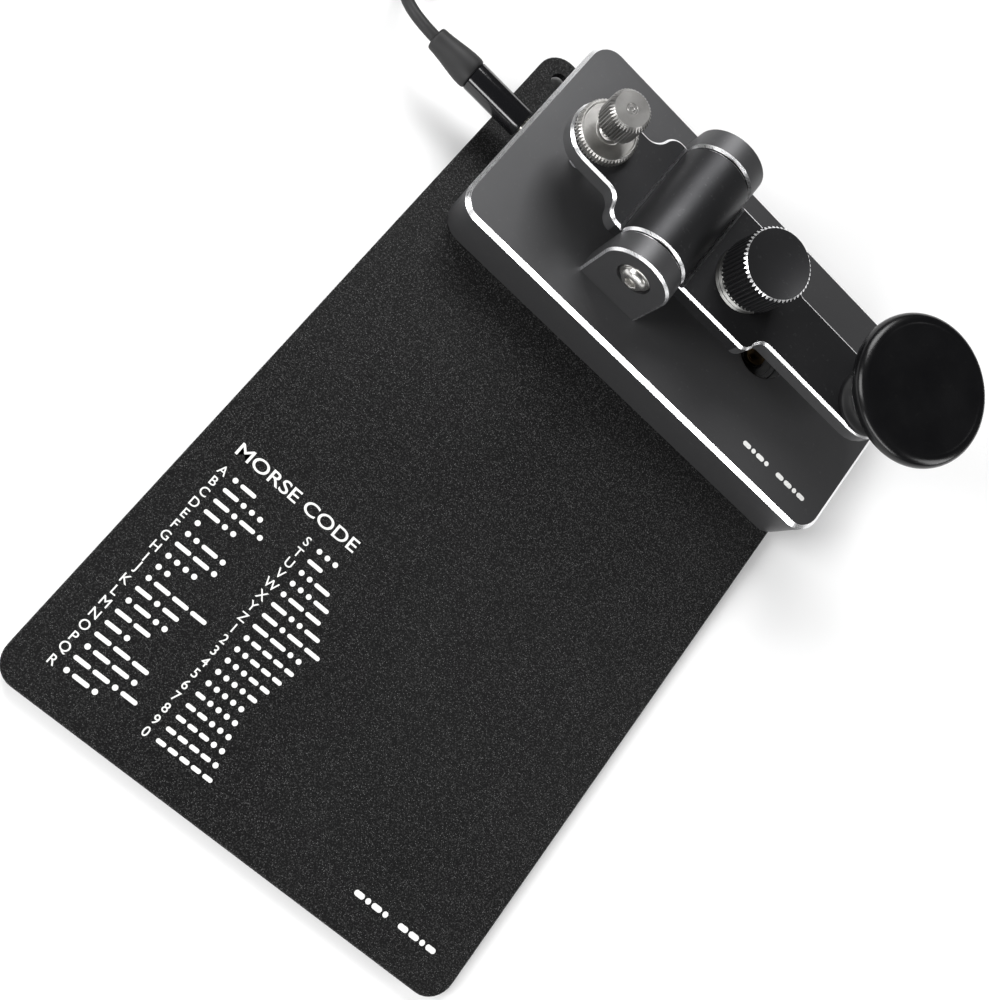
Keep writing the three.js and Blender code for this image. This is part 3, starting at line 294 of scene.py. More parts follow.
def group_node(tree, group, **values):
    node = tree.nodes.new("ShaderNodeGroup")
    node.node_tree = group
    for label, value in values.items():
        node.inputs[label.replace("_", " ")].default_value = value
    return node


def mix_colours(tree, factor, first, second):
    node = tree.nodes.new("ShaderNodeMix")
    node.data_type = "RGBA"
    tree.links.new(factor, node.inputs["Factor"])
    for socket, colour in zip((node.inputs[6], node.inputs[7]), (first, second)):
        if isinstance(colour, tuple):
            socket.default_value = (*colour, 1.0)
        else:
            tree.links.new(colour, socket)
    return node.outputs[2]


def bump_node(tree, height, depth_mm, strength=1.0, under=None):
    node = tree.nodes.new("ShaderNodeBump")
    node.inputs["Distance"].default_value = depth_mm * MM
    node.inputs["Strength"].default_value = strength
    tree.links.new(height, node.inputs["Height"])
    if under is not None:
        tree.links.new(under, node.inputs["Normal"])
    return node.outputs["Normal"]


def grained(name, light, dark, rough, metallic=0.0, coat=0.0, patch_mm=25.0, grain_mm=0.25,
            depth_mm=0.01, wear=None, shine=NORMAL_SHINE):
    material, tree, shader = new_material(name, metallic, coat, shine)
    patina = group_node(tree, PATINA, Patches_per_metre=1 / (patch_mm * MM),
                        Grains_per_metre=1 / (grain_mm * MM))
    colour = mix_colours(tree, patina.outputs["Patches"], light, dark)
    if wear:
        colour = mix_colours(tree, patina.outputs["Wear"], colour, wear)
    tree.links.new(colour, shader.inputs["Base Color"])
    roughness = ramp_value(tree, patina.outputs["Patches"], 0, 1, *rough)
    tree.links.new(roughness, shader.inputs["Roughness"])
    normal = bump_node(tree, patina.outputs["Grain"], depth_mm)
    tree.links.new(normal, shader.inputs["Normal"])
    return material


# %% Plain grained finishes
# Painted light: the block's anodised black is lighter than the lever's, for its brightly lit top.
block_anodised_painted_light = grained("black_anodised_block_painted_light", (0.105, 0.105, 0.108), (0.085, 0.085, 0.088),
                         (0.44, 0.52), metallic=0.75, patch_mm=34, grain_mm=0.14, depth_mm=0.006,
                         wear=(0.12, 0.12, 0.122))
# Painted light: the lever's flanks get a lighter black for the light that falls on that side.
flank_painted_light = grained("black_anodised_flank_painted_light", (0.085, 0.085, 0.088), (0.065, 0.065, 0.067),
                       (0.5, 0.6), metallic=0.6, patch_mm=20, grain_mm=0.16, depth_mm=0.01)
black_anodised = grained("black_anodised", (0.04, 0.04, 0.042), (0.028, 0.028, 0.03),
                         (0.4, 0.48), metallic=0.75, patch_mm=18, grain_mm=0.12, depth_mm=0.007,
                         wear=(0.07, 0.07, 0.072))
gloss_black = grained("gloss_black", (0.005, 0.005, 0.006), (0.008, 0.008, 0.009),
                      (0.12, 0.18), coat=0.3, patch_mm=12, grain_mm=0.8, depth_mm=0.001)
knob_black = grained("knob_black", (0.003, 0.003, 0.0035), (0.005, 0.005, 0.0055),
                     (0.22, 0.28), patch_mm=9, grain_mm=0.3, depth_mm=0.003,
                     wear=(0.007, 0.007, 0.007), shine=KNOB_SHINE)
# Painted shade: the neck's black is a little darker than the disc's, for the shade under the disc.
neck_black_painted_shade = grained("knob_neck_painted_shade", (0.002, 0.002, 0.0025), (0.003, 0.003, 0.0035),
                     (0.5, 0.62), patch_mm=9, grain_mm=0.3, depth_mm=0.004, shine=KNOB_SHINE)
moulded_black = grained("moulded_black", (0.02, 0.02, 0.021), (0.028, 0.028, 0.03),
                        (0.45, 0.6), patch_mm=6, grain_mm=0.15, depth_mm=0.008)
rubber = grained("rubber", (0.006, 0.006, 0.0065), (0.011, 0.011, 0.0115),
                 (0.5, 0.66), patch_mm=8, grain_mm=0.2, depth_mm=0.01)
nylon = grained("black_nylon", (0.012, 0.012, 0.012), (0.02, 0.02, 0.02),
                (0.4, 0.55), patch_mm=4, grain_mm=0.3, depth_mm=0.006)
plain_steel = grained("plain_steel", (0.5, 0.5, 0.51), (0.42, 0.42, 0.43),
                      (0.28, 0.42), metallic=1.0, patch_mm=5, grain_mm=0.1, depth_mm=0.003)
# Painted shade: the brass is painted dark, for contacts in shade under the lever and in the bush.
brass_painted_shade = grained("brass_painted_shade", (0.2, 0.14, 0.07), (0.15, 0.1, 0.05),
                (0.25, 0.42), metallic=1.0, patch_mm=3, grain_mm=0.12, depth_mm=0.003)
red_cover = grained("red_wire_cover", (0.42, 0.02, 0.015), (0.34, 0.018, 0.012),
                    (0.35, 0.5), patch_mm=5, grain_mm=0.3, depth_mm=0.004)
ink = grained("white_ink", (0.86, 0.86, 0.84), (0.76, 0.76, 0.75),
              (0.55, 0.7), patch_mm=9, grain_mm=0.2, depth_mm=0.004, wear=(0.6, 0.6, 0.6))
print(len(bpy.data.materials), "finishes so far")

# %% [markdown]
# ### Powder coat
#
# The plate is sprayed with black powder and baked. The powder melts into small rounded bumps,
# like orange peel but finer. Where a few of them would catch the light, pale specks are painted
# into the colour as painted glints, and the crests of the fine grain are painted a little paler.
# Two bumps on top of each other, one wide and one fine, add to that broken sparkle.


# %% Powder coat on the plate
def build_powder_coat():
    material, tree, shader = new_material("powder_coat", shine=COAT_SHINE)
    patina = group_node(tree, PATINA, Patches_per_metre=14.0, Grains_per_metre=3400.0)
    specks = group_node(tree, GLINT_SPECKS, Specks_per_metre=4000.0, Share=0.34)
    base = mix_colours(tree, patina.outputs["Patches"], (0.003, 0.003, 0.0032),
                       (0.007, 0.007, 0.0072))
    # Painted glints: pale grain crests and bright specks stand for light caught by the bumps.
    painted_grain_glint = ramp_value(tree, patina.outputs["Grain"], 0.5, 0.66)
    base_with_painted_glints = mix_colours(tree, painted_grain_glint, base, (0.032, 0.032, 0.032))
    colour = mix_colours(tree, specks.outputs["Specks"], base_with_painted_glints, (0.19, 0.19, 0.19))
    tree.links.new(colour, shader.inputs["Base Color"])
    roughness = ramp_value(tree, patina.outputs["Grain"], 0.3, 0.7, 0.6, 0.42)
    tree.links.new(roughness, shader.inputs["Roughness"])
    wide = bump_node(tree, specks.outputs["Peel"], 0.08, 0.6)
    fine = bump_node(tree, patina.outputs["Grain"], 0.06, 0.8, under=wide)
    tree.links.new(fine, shader.inputs["Normal"])
    return material


powder_coat = build_powder_coat()
print(powder_coat.name, "has", len(powder_coat.node_tree.nodes), "nodes")

# %% [markdown]
# ### Bright cut edges and turned faces
#
# After the block and the lever are anodised black, their edges are cut once more, and that last
# pass leaves bare bright aluminium with fine straight lines. Turned pieces such as the gap screw
# carry rings instead, centred on their own axis, so each of those needs its own material with the
# pattern moved to where the piece stands.


# %% Cut and turned metal
def build_cut_edge():
    material, tree, shader = new_material("cut_edge", metallic=1.0)
    place = tree.nodes.new("ShaderNodeTexCoord").outputs["Object"]
    mapping = tree.nodes.new("ShaderNodeMapping")
    mapping.inputs["Scale"].default_value = (0.06, 0.06, 1.0)
    tree.links.new(place, mapping.inputs["Vector"])
    marks = group_node(tree, TOOL_MARKS, Marks_per_metre=9000.0)
    tree.links.new(mapping.outputs["Vector"], marks.inputs["Vector"])
    colour = mix_colours(tree, marks.outputs["Marks"], (0.93, 0.93, 0.94), (0.8, 0.8, 0.81))
    tree.links.new(colour, shader.inputs["Base Color"])
    roughness = ramp_value(tree, marks.outputs["Marks"], 0, 1, 0.22, 0.38)
    tree.links.new(roughness, shader.inputs["Roughness"])
    tree.links.new(bump_node(tree, marks.outputs["Marks"], 0.004), shader.inputs["Normal"])
    return material


AXIS_TURN = {"X": (0, math.pi / 2, 0), "Y": (math.pi / 2, 0, 0), "Z": (0, 0, 0)}
RING_PITCH_MM = 0.35


def turned_metal(name, x, y, light, dark, rough, depth_mm=0.008, axis="Z", z=0.0):
    material, tree, shader = new_material(name, metallic=1.0)
    place = tree.nodes.new("ShaderNodeTexCoord").outputs["Object"]
    mapping = tree.nodes.new("ShaderNodeMapping")
    mapping.vector_type = "TEXTURE"
    mapping.inputs["Location"].default_value = (x * MM, y * MM, z * MM)
    mapping.inputs["Rotation"].default_value = AXIS_TURN[axis]
    tree.links.new(place, mapping.inputs["Vector"])
    rings = group_node(tree, LATHE_RINGS, Rings_per_metre=1 / (2 * RING_PITCH_MM * MM))
    tree.links.new(mapping.outputs["Vector"], rings.inputs["Vector"])
    patina = group_node(tree, PATINA, Patches_per_metre=260.0, Grains_per_metre=9000.0)
    colour = mix_colours(tree, patina.outputs["Patches"], light, dark)
    tree.links.new(colour, shader.inputs["Base Color"])
    roughness = ramp_value(tree, rings.outputs["Fine rings"], 0, 1, *rough)
    tree.links.new(roughness, shader.inputs["Roughness"])
    grain = bump_node(tree, patina.outputs["Grain"], 0.003)
    ringed = bump_node(tree, rings.outputs["Rings"], depth_mm, 0.6, grain)
    tree.links.new(ringed, shader.inputs["Normal"])
    return material


cut_edge = build_cut_edge()
gap_x, gap_y, _ = middle("gap_screw")
tension_x, tension_y, _ = middle("tension_knob")
turned_gap = turned_metal("turned_nickel_gap", gap_x, gap_y, (0.52, 0.51, 0.49),
                          (0.36, 0.355, 0.345), (0.3, 0.46))
# Painted shade: the screw head is a darker copy of the same nickel, toning down its bright top.
turned_head_painted_shade = turned_metal("turned_nickel_head_painted_shade", gap_x, gap_y, (0.33, 0.325, 0.315),
                           (0.24, 0.235, 0.23), (0.3, 0.46))
# Painted shade: the stop disc's steel is painted dark, for the shade under the lever.
dark_steel_painted_shade = grained("dark_steel_painted_shade", (0.12, 0.12, 0.125), (0.08, 0.08, 0.085),
                         (0.42, 0.52), metallic=1.0, patch_mm=4, grain_mm=0.1, depth_mm=0.003)
turned_pivot = turned_metal("turned_nickel_pivot", PIVOT_X, KEY_Y, (0.72, 0.71, 0.69),
                            (0.6, 0.59, 0.57), (0.24, 0.34), depth_mm=0.003, axis="Y", z=PIVOT_Z)
# Painted shade: the sleeve's bare metal is painted dark, for the shade under the knob's head.
turned_sleeve_painted_shade = turned_metal("turned_sleeve_painted_shade", tension_x, tension_y, (0.2, 0.2, 0.195),
                             (0.14, 0.14, 0.135), (0.3, 0.42), depth_mm=0.004)
PIN_LIGHT = (0.74, 0.72, 0.66)
PIN_DARK = (0.62, 0.6, 0.54)
plug_x, plug_y, plug_z = middle("plug_pin")
turned_pin = turned_metal("turned_pin", plug_x, plug_y, PIN_LIGHT, PIN_DARK, (0.14, 0.26),
                          depth_mm=0.002, axis="X", z=plug_z)
far_x, far_y, far_z = middle("far_pin")
turned_far_pin = turned_metal("turned_far_pin", far_x, far_y, PIN_LIGHT, PIN_DARK, (0.14, 0.26),
                              depth_mm=0.002, axis="Y", z=far_z)
print(len(bpy.data.materials), "materials")

# %% [markdown]
# ## Modelling helpers
#
# Almost every piece of a key is either turned on a lathe, or cut from flat stock. So two habits
# cover most of the work. A lathe piece is half of its outline, spun round an axis. A flat piece is
# its outline at several heights, with neighbouring outlines bridged by walls and the ends filled
# in. Both are closed bodies.


# %% Finish a mesh and hand it to the frame
MERGE_DIST = 0.0005


def make_piece(bm, name, body, finishes, node=None, move=(0, 0, 0), smooth=32):
    bmesh.ops.remove_doubles(bm, verts=bm.verts, dist=MERGE_DIST)
    bmesh.ops.recalc_face_normals(bm, faces=bm.faces)
    bmesh.ops.translate(bm, vec=move, verts=bm.verts)
    bmesh.ops.scale(bm, vec=(MM, MM, MM), verts=bm.verts)
    mesh = bpy.data.meshes.new(name)
    bm.to_mesh(mesh)
    bm.free()
    mesh.shade_smooth()
    mesh.set_sharp_from_angle(angle=math.radians(smooth))
    for finish in finishes:
        mesh.materials.append(finish)
    piece = bpy.data.objects.new(name, mesh)
    SCENE.collection.objects.link(piece)
    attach(piece, body)
    if node:
        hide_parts(node)
    size = [round(d / MM, 1) for d in piece.dimensions]
    print("%s: %d faces, %s mm" % (name, len(mesh.polygons), size))
    return piece


# %% Spin an outline round an axis
def spun(profile, steps=96, closed=False):
    bm = bmesh.new()
    verts = [bm.verts.new((r, 0, z)) for r, z in profile]
    edges = [bm.edges.new(pair) for pair in zip(verts, verts[1:])]
    if closed:
        edges.append(bm.edges.new((verts[-1], verts[0])))
    bmesh.ops.spin(bm, geom=verts + edges, cent=(0, 0, 0), axis=(0, 0, 1), angle=2 * math.pi,
                   steps=steps, use_merge=True, use_duplicate=False)
    bmesh.ops.remove_doubles(bm, verts=bm.verts, dist=MERGE_DIST)
    return bm


def bezier(start, first, second, end, count=10):
    points = []
    for i in range(1, count + 1):
        t = i / count
        s = 1 - t
        points.append(tuple(s ** 3 * a + 3 * s * s * t * b + 3 * s * t * t * c + t ** 3 * d
                            for a, b, c, d in zip(start, first, second, end)))
    return points


# %% Bridge outlines into a solid
def closed_loop(bm, points):
    verts = [bm.verts.new(p) for p in points]
    return [bm.edges.new((a, b)) for a, b in zip(verts, verts[1:] + verts[:1])]


def bridged(bm, outlines):
    loops = [closed_loop(bm, points) for points in outlines]
    for a, b in zip(loops, loops[1:]):
        bmesh.ops.bridge_loops(bm, edges=a + b)
    return loops


def circle(radius, z, count):
    angles = [2 * math.pi * i / count for i in range(count)]
    return [(radius * math.cos(a), radius * math.sin(a), z) for a in angles]


# %% Copy a CAD node to work on
CAD_MERGE_DIST = 0.001
FLAT_DEG = 0.4


def cad_copy(node):
    bm = bmesh.new()
    bm.from_mesh(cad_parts[node].data)
    bmesh.ops.scale(bm, vec=(1 / MM, 1 / MM, 1 / MM), verts=bm.verts)
    bmesh.ops.remove_doubles(bm, verts=bm.verts, dist=CAD_MERGE_DIST)
    bmesh.ops.dissolve_degenerate(bm, edges=bm.edges, dist=CAD_MERGE_DIST)
    bmesh.ops.dissolve_limit(bm, angle_limit=math.radians(FLAT_DEG), verts=bm.verts, edges=bm.edges)
    return bm


def paint(bm, is_other, index=1):
    bm.normal_update()
    count = 0
    for face in bm.faces:
        if is_other(face.calc_center_median(), face.normal):
            face.material_index = index
            count += 1
    return count


def sloped(part):
    return 0.4 < abs(part) < 0.95


# %% [markdown]
# ## The cord comes first
#
# The cord decides how much room the object takes, so it is made before anything else. A thin
# rubber lead leaves its plug straight, sinks to the table under its own weight and is wound away
# in a neat coil with a tie round it. A coil like this is wound in layers: four turns side by side,
# then the next four on top. Each turn has to step over to its neighbour somewhere, and the step
# is kept in one short sector, as a machine would do it. Where the winding turns back or climbs,
# the step moves one sector earlier, and the turns then never cut through each other.

# %% Route of the cord, in millimetres
CORD_R = 1.2
COIL_X, COIL_Y = middle("cord_coil")[:2]
COIL_OUTER = 18.0
COIL_TURN = 2 * CORD_R
COIL_LAYERS = 4
COIL_COLUMNS = 4
STEP_DEG = 60
FIRST_STEP_DEG = 300
FULL_TURNS = 14
LEAVE_DEG = 360 * FULL_TURNS + 104
POINT_EVERY_DEG = 20
BOOT_X = corners("plug_boot")[0][0]
LEAD_RUN = [
    (-0.06, 0, 10.5), (-1.5, 0.05, 10.5), (-3.0, 0.2, 10.45), (-6.0, 0.8, 10.2), (-9.0, 2.4, 9.3),
    (-11.6, 5.1, 7.7), (-13.3, 9.0, 5.4), (-13.7, 13.8, 3.0), (-13.0, 18.4, 1.7),
    (-12.2, 22.7, 1.22),
]
FAR_BOOT_X = middle("far_boot")[0]
FAR_BOOT_Y = corners("far_boot")[1][1]
TAIL_RUN = [
    (13.9, 17.6, 7.9), (9.0, 15.6, 6.6), (5.4, 13.0, 4.7), (2.4, 9.4, 3.6), (0.6, 5.0, 3.25),
    (0, 0.3, 3.2), (0, -1.5, 3.2),
]
LEAD_ROUTE = [(BOOT_X + x, KEY_Y + y, z) for x, y, z in LEAD_RUN]
TAIL_ROUTE = [(FAR_BOOT_X + x, FAR_BOOT_Y + y, z) for x, y, z in TAIL_RUN]


def winding_steps():
    steps = []
    at = FIRST_STEP_DEG
    for layer in range(COIL_LAYERS):
        inward = layer % 2 == 0
        for _ in range(COIL_COLUMNS - 1):
            steps.append((at, -COIL_TURN if inward else COIL_TURN, 0.0))
            at += 360
        at -= STEP_DEG
        if layer < COIL_LAYERS - 1:
            steps.append((at, 0.0, COIL_TURN))
            at += 360 - STEP_DEG
    return steps


def wound():
    points = []
    steps = winding_steps()
    for angle in range(0, LEAVE_DEG + 1, POINT_EVERY_DEG):
        radius, height = COIL_OUTER, CORD_R
        for start, outward, up in steps:
            share = min(max((angle - start) / STEP_DEG, 0), 1)
            share = share * share * (3 - 2 * share)
            radius += outward * share
            height += up * share
        a = math.radians(angle)
        points.append((COIL_X + radius * math.cos(a), COIL_Y + radius * math.sin(a), height))
    return points


cord_points = LEAD_ROUTE + wound() + TAIL_ROUTE
cord_mm = sum((Vector(a) - Vector(b)).length for a, b in zip(cord_points, cord_points[1:]))
print("cord: %d points, %.0f mm" % (len(cord_points), cord_mm))


# %% The cord as one curve
def build_cord():
    curve = bpy.data.curves.new("cord", "CURVE")
    curve.dimensions = "3D"
    curve.bevel_depth = CORD_R * MM
    curve.bevel_resolution = 4
    curve.resolution_u = 4
    curve.use_fill_caps = True
    spline = curve.splines.new("BEZIER")
    spline.bezier_points.add(len(cord_points) - 1)
    for knot, place in zip(spline.bezier_points, cord_points):
        knot.co = Vector(place) * MM
        knot.handle_left_type = knot.handle_right_type = "AUTO"
    curve.materials.append(rubber)
    cord = bpy.data.objects.new("cord", curve)
    SCENE.collection.objects.link(cord)
    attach(cord, "lead")
    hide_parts("cord_lead", "cord_coil", "cord_tail")
    return cord


cord = build_cord()
print("cord:", len(cord_points), "points,", 2 * CORD_R, "mm thick")

# %% [markdown]
# ### Plugs, boots and the tie
#
# Both ends carry the same small audio plug: a turned metal pin with two dark insulating rings, a
# glossy barrel, and a soft boot that tapers down to the cord so that it can't kink there. All
# three are lathe work, spun about Z and then laid along the cord. The tie is a flat strap wrapped
# round the coil, with the square lock that it is pulled through.

# %% Plug parts, drawn along Z with the pin upwards
PIN_R = 1.75
BARREL_L = 13.1
BARREL_R = 3.0
BOOT_L = 9.8
BOOT_R = 3.2
BOOT_END_R = 2.35
SEAT = 0.05


def pin_shape():
    tip = bezier((1.15, 11.4), (1.5, 11.9), (1.75, 12.3), (1.45, 12.9), 5)
    nose = bezier((1.45, 12.9), (1.1, 13.6), (0.6, 13.95), (0.0, 14.0), 6)
    profile = [(0, 0), (PIN_R, 0), (PIN_R, 5.0), (PIN_R - 0.06, 5.05), (PIN_R - 0.06, 5.75),
               (PIN_R, 5.8), (PIN_R, 8.7), (PIN_R - 0.06, 8.75), (PIN_R - 0.06, 9.45),
               (PIN_R, 9.5), (PIN_R, 10.3), (1.15, 11.2), (1.15, 11.4)]
    bm = spun(profile + tip + nose, 64)
    paint(bm, lambda c, n: 5.05 < c.z < 5.75 or 8.75 < c.z < 9.45)
    return bm


def barrel_shape():
    edge = bezier((BARREL_R, -0.25), (BARREL_R, -0.12), (2.9, -SEAT), (2.8, -SEAT), 4)
    profile = [(0, -BARREL_L), (2.8, -BARREL_L), (BARREL_R, 0.2 - BARREL_L), (BARREL_R, -0.25)]
    return spun(profile + edge + [(1.8, -SEAT), (0, -SEAT)], 96)


def boot_shape():
    front = -BARREL_L - SEAT
    back = -BARREL_L - BOOT_L
    rounded = bezier((CORD_R + 0.3, back), (1.95, back), (BOOT_END_R, back + 0.1),
                     (BOOT_END_R, back + 0.75), 6)
    taper = bezier((BOOT_END_R, back + 0.75), (BOOT_END_R + 0.1, back + 3.2),
                   (BOOT_R, front - 3.4), (BOOT_R, front - 1.3), 10)
    swell = bezier((BOOT_R, front - 1.3), (BOOT_R, front - 0.5), (3.12, front - 0.1),
                   (2.9, front), 6)
    return spun([(0, back), (CORD_R + 0.3, back)] + rounded + taper + swell + [(0, front)], 96)


# %% Lay the plugs in place
QUARTER = math.pi / 2
PLUG_TURNS = {"plug": Matrix.Rotation(QUARTER, 4, "Y"), "far": Matrix.Rotation(QUARTER, 4, "X")}
PLUG_BASES = {"plug": (corners("plug_pin")[0][0], plug_y, plug_z),
              "far": (far_x, corners("far_pin")[1][1], far_z)}
PIN_METAL = {"plug": turned_pin, "far": turned_far_pin}
for end in ("plug", "far"):
    parts = (("pin", pin_shape, [PIN_METAL[end], moulded_black], "nickel"),
             ("barrel", barrel_shape, [gloss_black], "gloss_black"),
             ("boot", boot_shape, [rubber], "cord_rubber"))
    for part, shape, finishes, slot in parts:
        bm = shape()
        bmesh.ops.transform(bm, matrix=PLUG_TURNS[end], verts=bm.verts)
        name = "%s_%s" % (end, part)
        make_piece(bm, name + "_turned", "lead", finishes, name,
                                      PLUG_BASES[end])


# %% The tie round the coil
TIE_DEG = 240
TIE_OUT = 14.4
TIE_W = 5.0
TIE_T = 0.8
TIE_EDGE = 0.12
TIE_OUTER_CORNER = 1.6
TIE_INNER_CORNER = 0.8
LOCK_SIZE = (2.2, 3.4, TIE_W + 1.2)


def rounded_outline(width, length, radius, z, count=8):
    points = []
    corner = ((1, -1, -90), (1, 1, 0), (-1, 1, 90), (-1, -1, 180))
    for sx, sy, start in corner:
        for i in range(count + 1):
            a = math.radians(start + 90 * i / count)
            points.append((sx * (width / 2 - radius) + radius * math.cos(a),
                           sy * (length / 2 - radius) + radius * math.sin(a), z))
    return points


def tie_shape():
    reach = COIL_TURN * COIL_COLUMNS + 1.2
    height = COIL_TURN * COIL_LAYERS + 0.3
    bm = bmesh.new()
    half = TIE_W / 2
    outer, inner = [], []
    flat = half - TIE_EDGE
    for z, pull in ((-half, TIE_EDGE), (-flat, 0), (flat, 0), (half, TIE_EDGE)):
        wall = 2 * (TIE_T - pull)
        outer.append(rounded_outline(reach + wall, height + wall, TIE_OUTER_CORNER, z))
        inner.append(rounded_outline(reach + 2 * pull, height + 2 * pull, TIE_INNER_CORNER, z))
    outside = bridged(bm, outer)
    inside = bridged(bm, inner)
    bmesh.ops.bridge_loops(bm, edges=outside[0] + inside[0])
    bmesh.ops.bridge_loops(bm, edges=outside[-1] + inside[-1])
    lock = bmesh.ops.create_cube(bm, size=1.0)["verts"]
    bmesh.ops.scale(bm, vec=LOCK_SIZE, verts=lock)
    bmesh.ops.translate(bm, vec=(reach / 2 + 0.6, 0, 0), verts=lock)
    lock_edges = list({e for v in lock for e in v.link_edges})
    bmesh.ops.bevel(bm, geom=lock_edges, offset=0.3, segments=2, affect="EDGES", profile=0.5,
                    material=-1)
    return bm


tie_low, tie_high = corners("cable_tie")
bm = tie_shape()
bmesh.ops.rotate(bm, cent=(0, 0, 0), matrix=Matrix.Rotation(QUARTER, 3, "X"), verts=bm.verts)
bmesh.ops.translate(bm, vec=(TIE_OUT, 0, (tie_low[2] + tie_high[2]) / 2), verts=bm.verts)
round_coil = Matrix.Rotation(math.radians(TIE_DEG), 3, "Z")
bmesh.ops.rotate(bm, cent=(0, 0, 0), matrix=round_coil, verts=bm.verts)
tie = make_piece(bm, "cable_tie_strap", "lead", [moulded_black], "cable_tie",
                 (COIL_X, COIL_Y, 0))

# %% [markdown]
# ## The desk plate
#
# The plate is a sheet of steel, cut to shape, powder coated and printed. The CAD shape already has
# its rounded corners and holes, so a copy of it only needs the finish. Under it are four moulded
# rubber feet, each with a rounded edge and a shallow hollow that helps it grip the table.


# %% Plate and feet
make_piece(cad_copy("base_plate"), "base_plate_coated", "base", [powder_coat], "base_plate",
           smooth=25)

FOOT_EDGE = 0.6
for number in range(1, 5):
    low, high = corners("foot_%d" % number)
    radius = radius_of("foot_%d" % number)
    height = high[2] - low[2]
    rounded = bezier((radius - FOOT_EDGE, 0), (radius - 0.2, 0), (radius, 0.2),
                     (radius, FOOT_EDGE), 6)
    hollow = [(0, 0.35), (radius - 1.6, 0.3), (radius - 1.3, 0), (radius - FOOT_EDGE, 0)]
    foot_bm = spun(hollow + rounded + [(radius, height), (0, height)], 64)
    foot_x, foot_y = middle("foot_%d" % number)[:2]
    make_piece(foot_bm, "foot_%d_moulded" % number, "base", [rubber], "foot_%d" % number,
               (foot_x, foot_y, low[2]))

# %% [markdown]
# ### The printed chart
#
# The chart of letters and their signals is screen printed, so the ink lies on the coat as a very
# thin layer. Here every letter, dot and dash is a real body a few hundredths of a millimetre
# thick. The signals themselves are a small table of dots and dashes: a dot is a disc, a dash is a
# bar with round ends, and both come from the same rounded outline.

# %% Sizes of the print
TITLE_X = -31.6
TITLE_Y = -27.2
TITLE_H = 2.6
TITLE_W = 27.9
INK_T = 0.03
INK_LIFT = 0.004
CHART_TOP_Y = -30.85
CHART_PITCH = 2.503
LETTER_H = 1.8
DOT_CELL = 1.3
DOT_D = 1.05
DASH_L = 3.4
DASH_W = 0.8
SHORT_DASH_L = 2.0
MARK_GAP = 0.6
SHORT_GAP = 0.54
CODES = {
    "A": ".-", "B": "-...", "C": "-.-.", "D": "-..", "E": ".", "F": "..-.", "G": "--.",
    "H": "....", "I": "..", "J": ".---", "K": "-.-", "L": ".-..", "M": "--", "N": "-.",
    "O": "---", "P": ".--.", "Q": "--.-", "R": ".-.", "S": "...", "T": "-", "U": "..-",
    "V": "...-", "W": ".--", "X": "-..-", "Y": "-.--", "Z": "--..", "1": ".----", "2": "..---",
    "3": "...--", "4": "....-", "5": ".....", "6": "-....", "7": "--...", "8": "---..",
    "9": "----.", "0": "-----",
}
CHART_COLUMNS = (("ABCDEFGHIJKLMNOPQR", -44.95, -42.8), ("STUVWXYZ1234567890", -25.35, -23.1))
print(len(CODES), "letters and figures in the chart")


# %% Print with a thickness
def printed_mark(bm, x, y, length, width, z):
    outline = rounded_outline(length, width, width / 2 - 0.001, z, 6)
    face = bm.faces.new([bm.verts.new((x + length / 2 + px, y + py, pz)) for px, py, pz in outline])
    raised = bmesh.ops.extrude_face_region(bm, geom=[face])["geom"]
    raised = [part for part in raised if isinstance(part, bmesh.types.BMVert)]
    bmesh.ops.translate(bm, vec=(0, 0, INK_T), verts=raised)


def printed_code(bm, code, x, y, z, dash, dot=DOT_D, cell=DOT_CELL, width=DASH_W, gap=MARK_GAP):
    for mark in code:
        if mark == ".":
            printed_mark(bm, x + (cell - dot) / 2, y, dot, dot, z)
            x += cell + gap
        elif mark == "-":
            printed_mark(bm, x, y, dash, width, z)
            x += dash + gap
        else:
            x += dash
    return x - gap


CAPITAL_SHARE = 0.7
BOLD_SHARE = 0.008


def lettered(bm, text, x, y, height, z, width=None):
    size = height / (CAPITAL_SHARE + 2 * BOLD_SHARE)
    curve = bpy.data.curves.new("lettering", "FONT")
    curve.body = text
    curve.size = size
    curve.offset = BOLD_SHARE * size
    curve.extrude = INK_T / 2
    holder = bpy.data.objects.new("lettering", curve)
    SCENE.collection.objects.link(holder)
    made = holder.evaluated_get(bpy.context.evaluated_depsgraph_get())
    flat = bpy.data.meshes.new_from_object(made)
    bpy.data.objects.remove(holder)
    bpy.data.curves.remove(curve)
    before = len(bm.verts)
    bm.from_mesh(flat)
    bpy.data.meshes.remove(flat)
    bm.verts.ensure_lookup_table()
    new = bm.verts[before:]
    left = min(v.co.x for v in new)
    right = max(v.co.x for v in new)
    low = min(v.co.y for v in new)
    bmesh.ops.translate(bm, vec=(-(left + right) / 2, -low, z + INK_T / 2), verts=new)
    if width:
        bmesh.ops.scale(bm, vec=(width / (right - left), 1, 1), verts=new)
    bmesh.ops.translate(bm, vec=(x, y, 0), verts=new)


# %% Print the chart
plate_print_z = PLATE_TOP + INK_LIFT
chart = bmesh.new()
lettered(chart, "MORSE CODE", TITLE_X, TITLE_Y, TITLE_H, plate_print_z, TITLE_W)
for letters, letter_x, code_x in CHART_COLUMNS:
    for row, letter in enumerate(letters):
        row_y = CHART_TOP_Y - row * CHART_PITCH
        lettered(chart, letter, letter_x, row_y - LETTER_H / 2, LETTER_H, plate_print_z)
        dash, gap = (SHORT_DASH_L, SHORT_GAP) if letter.isdigit() else (DASH_L, MARK_GAP)
        printed_code(chart, CODES[letter], code_x, row_y, plate_print_z, dash, gap=gap)
make_piece(chart, "plate_chart_print", "base", [ink], smooth=30)

# %% [markdown]
# A maker usually prints a name on the plate and on the block. This one carries a row of signals
# in the same places instead: the general call that every operator knows.

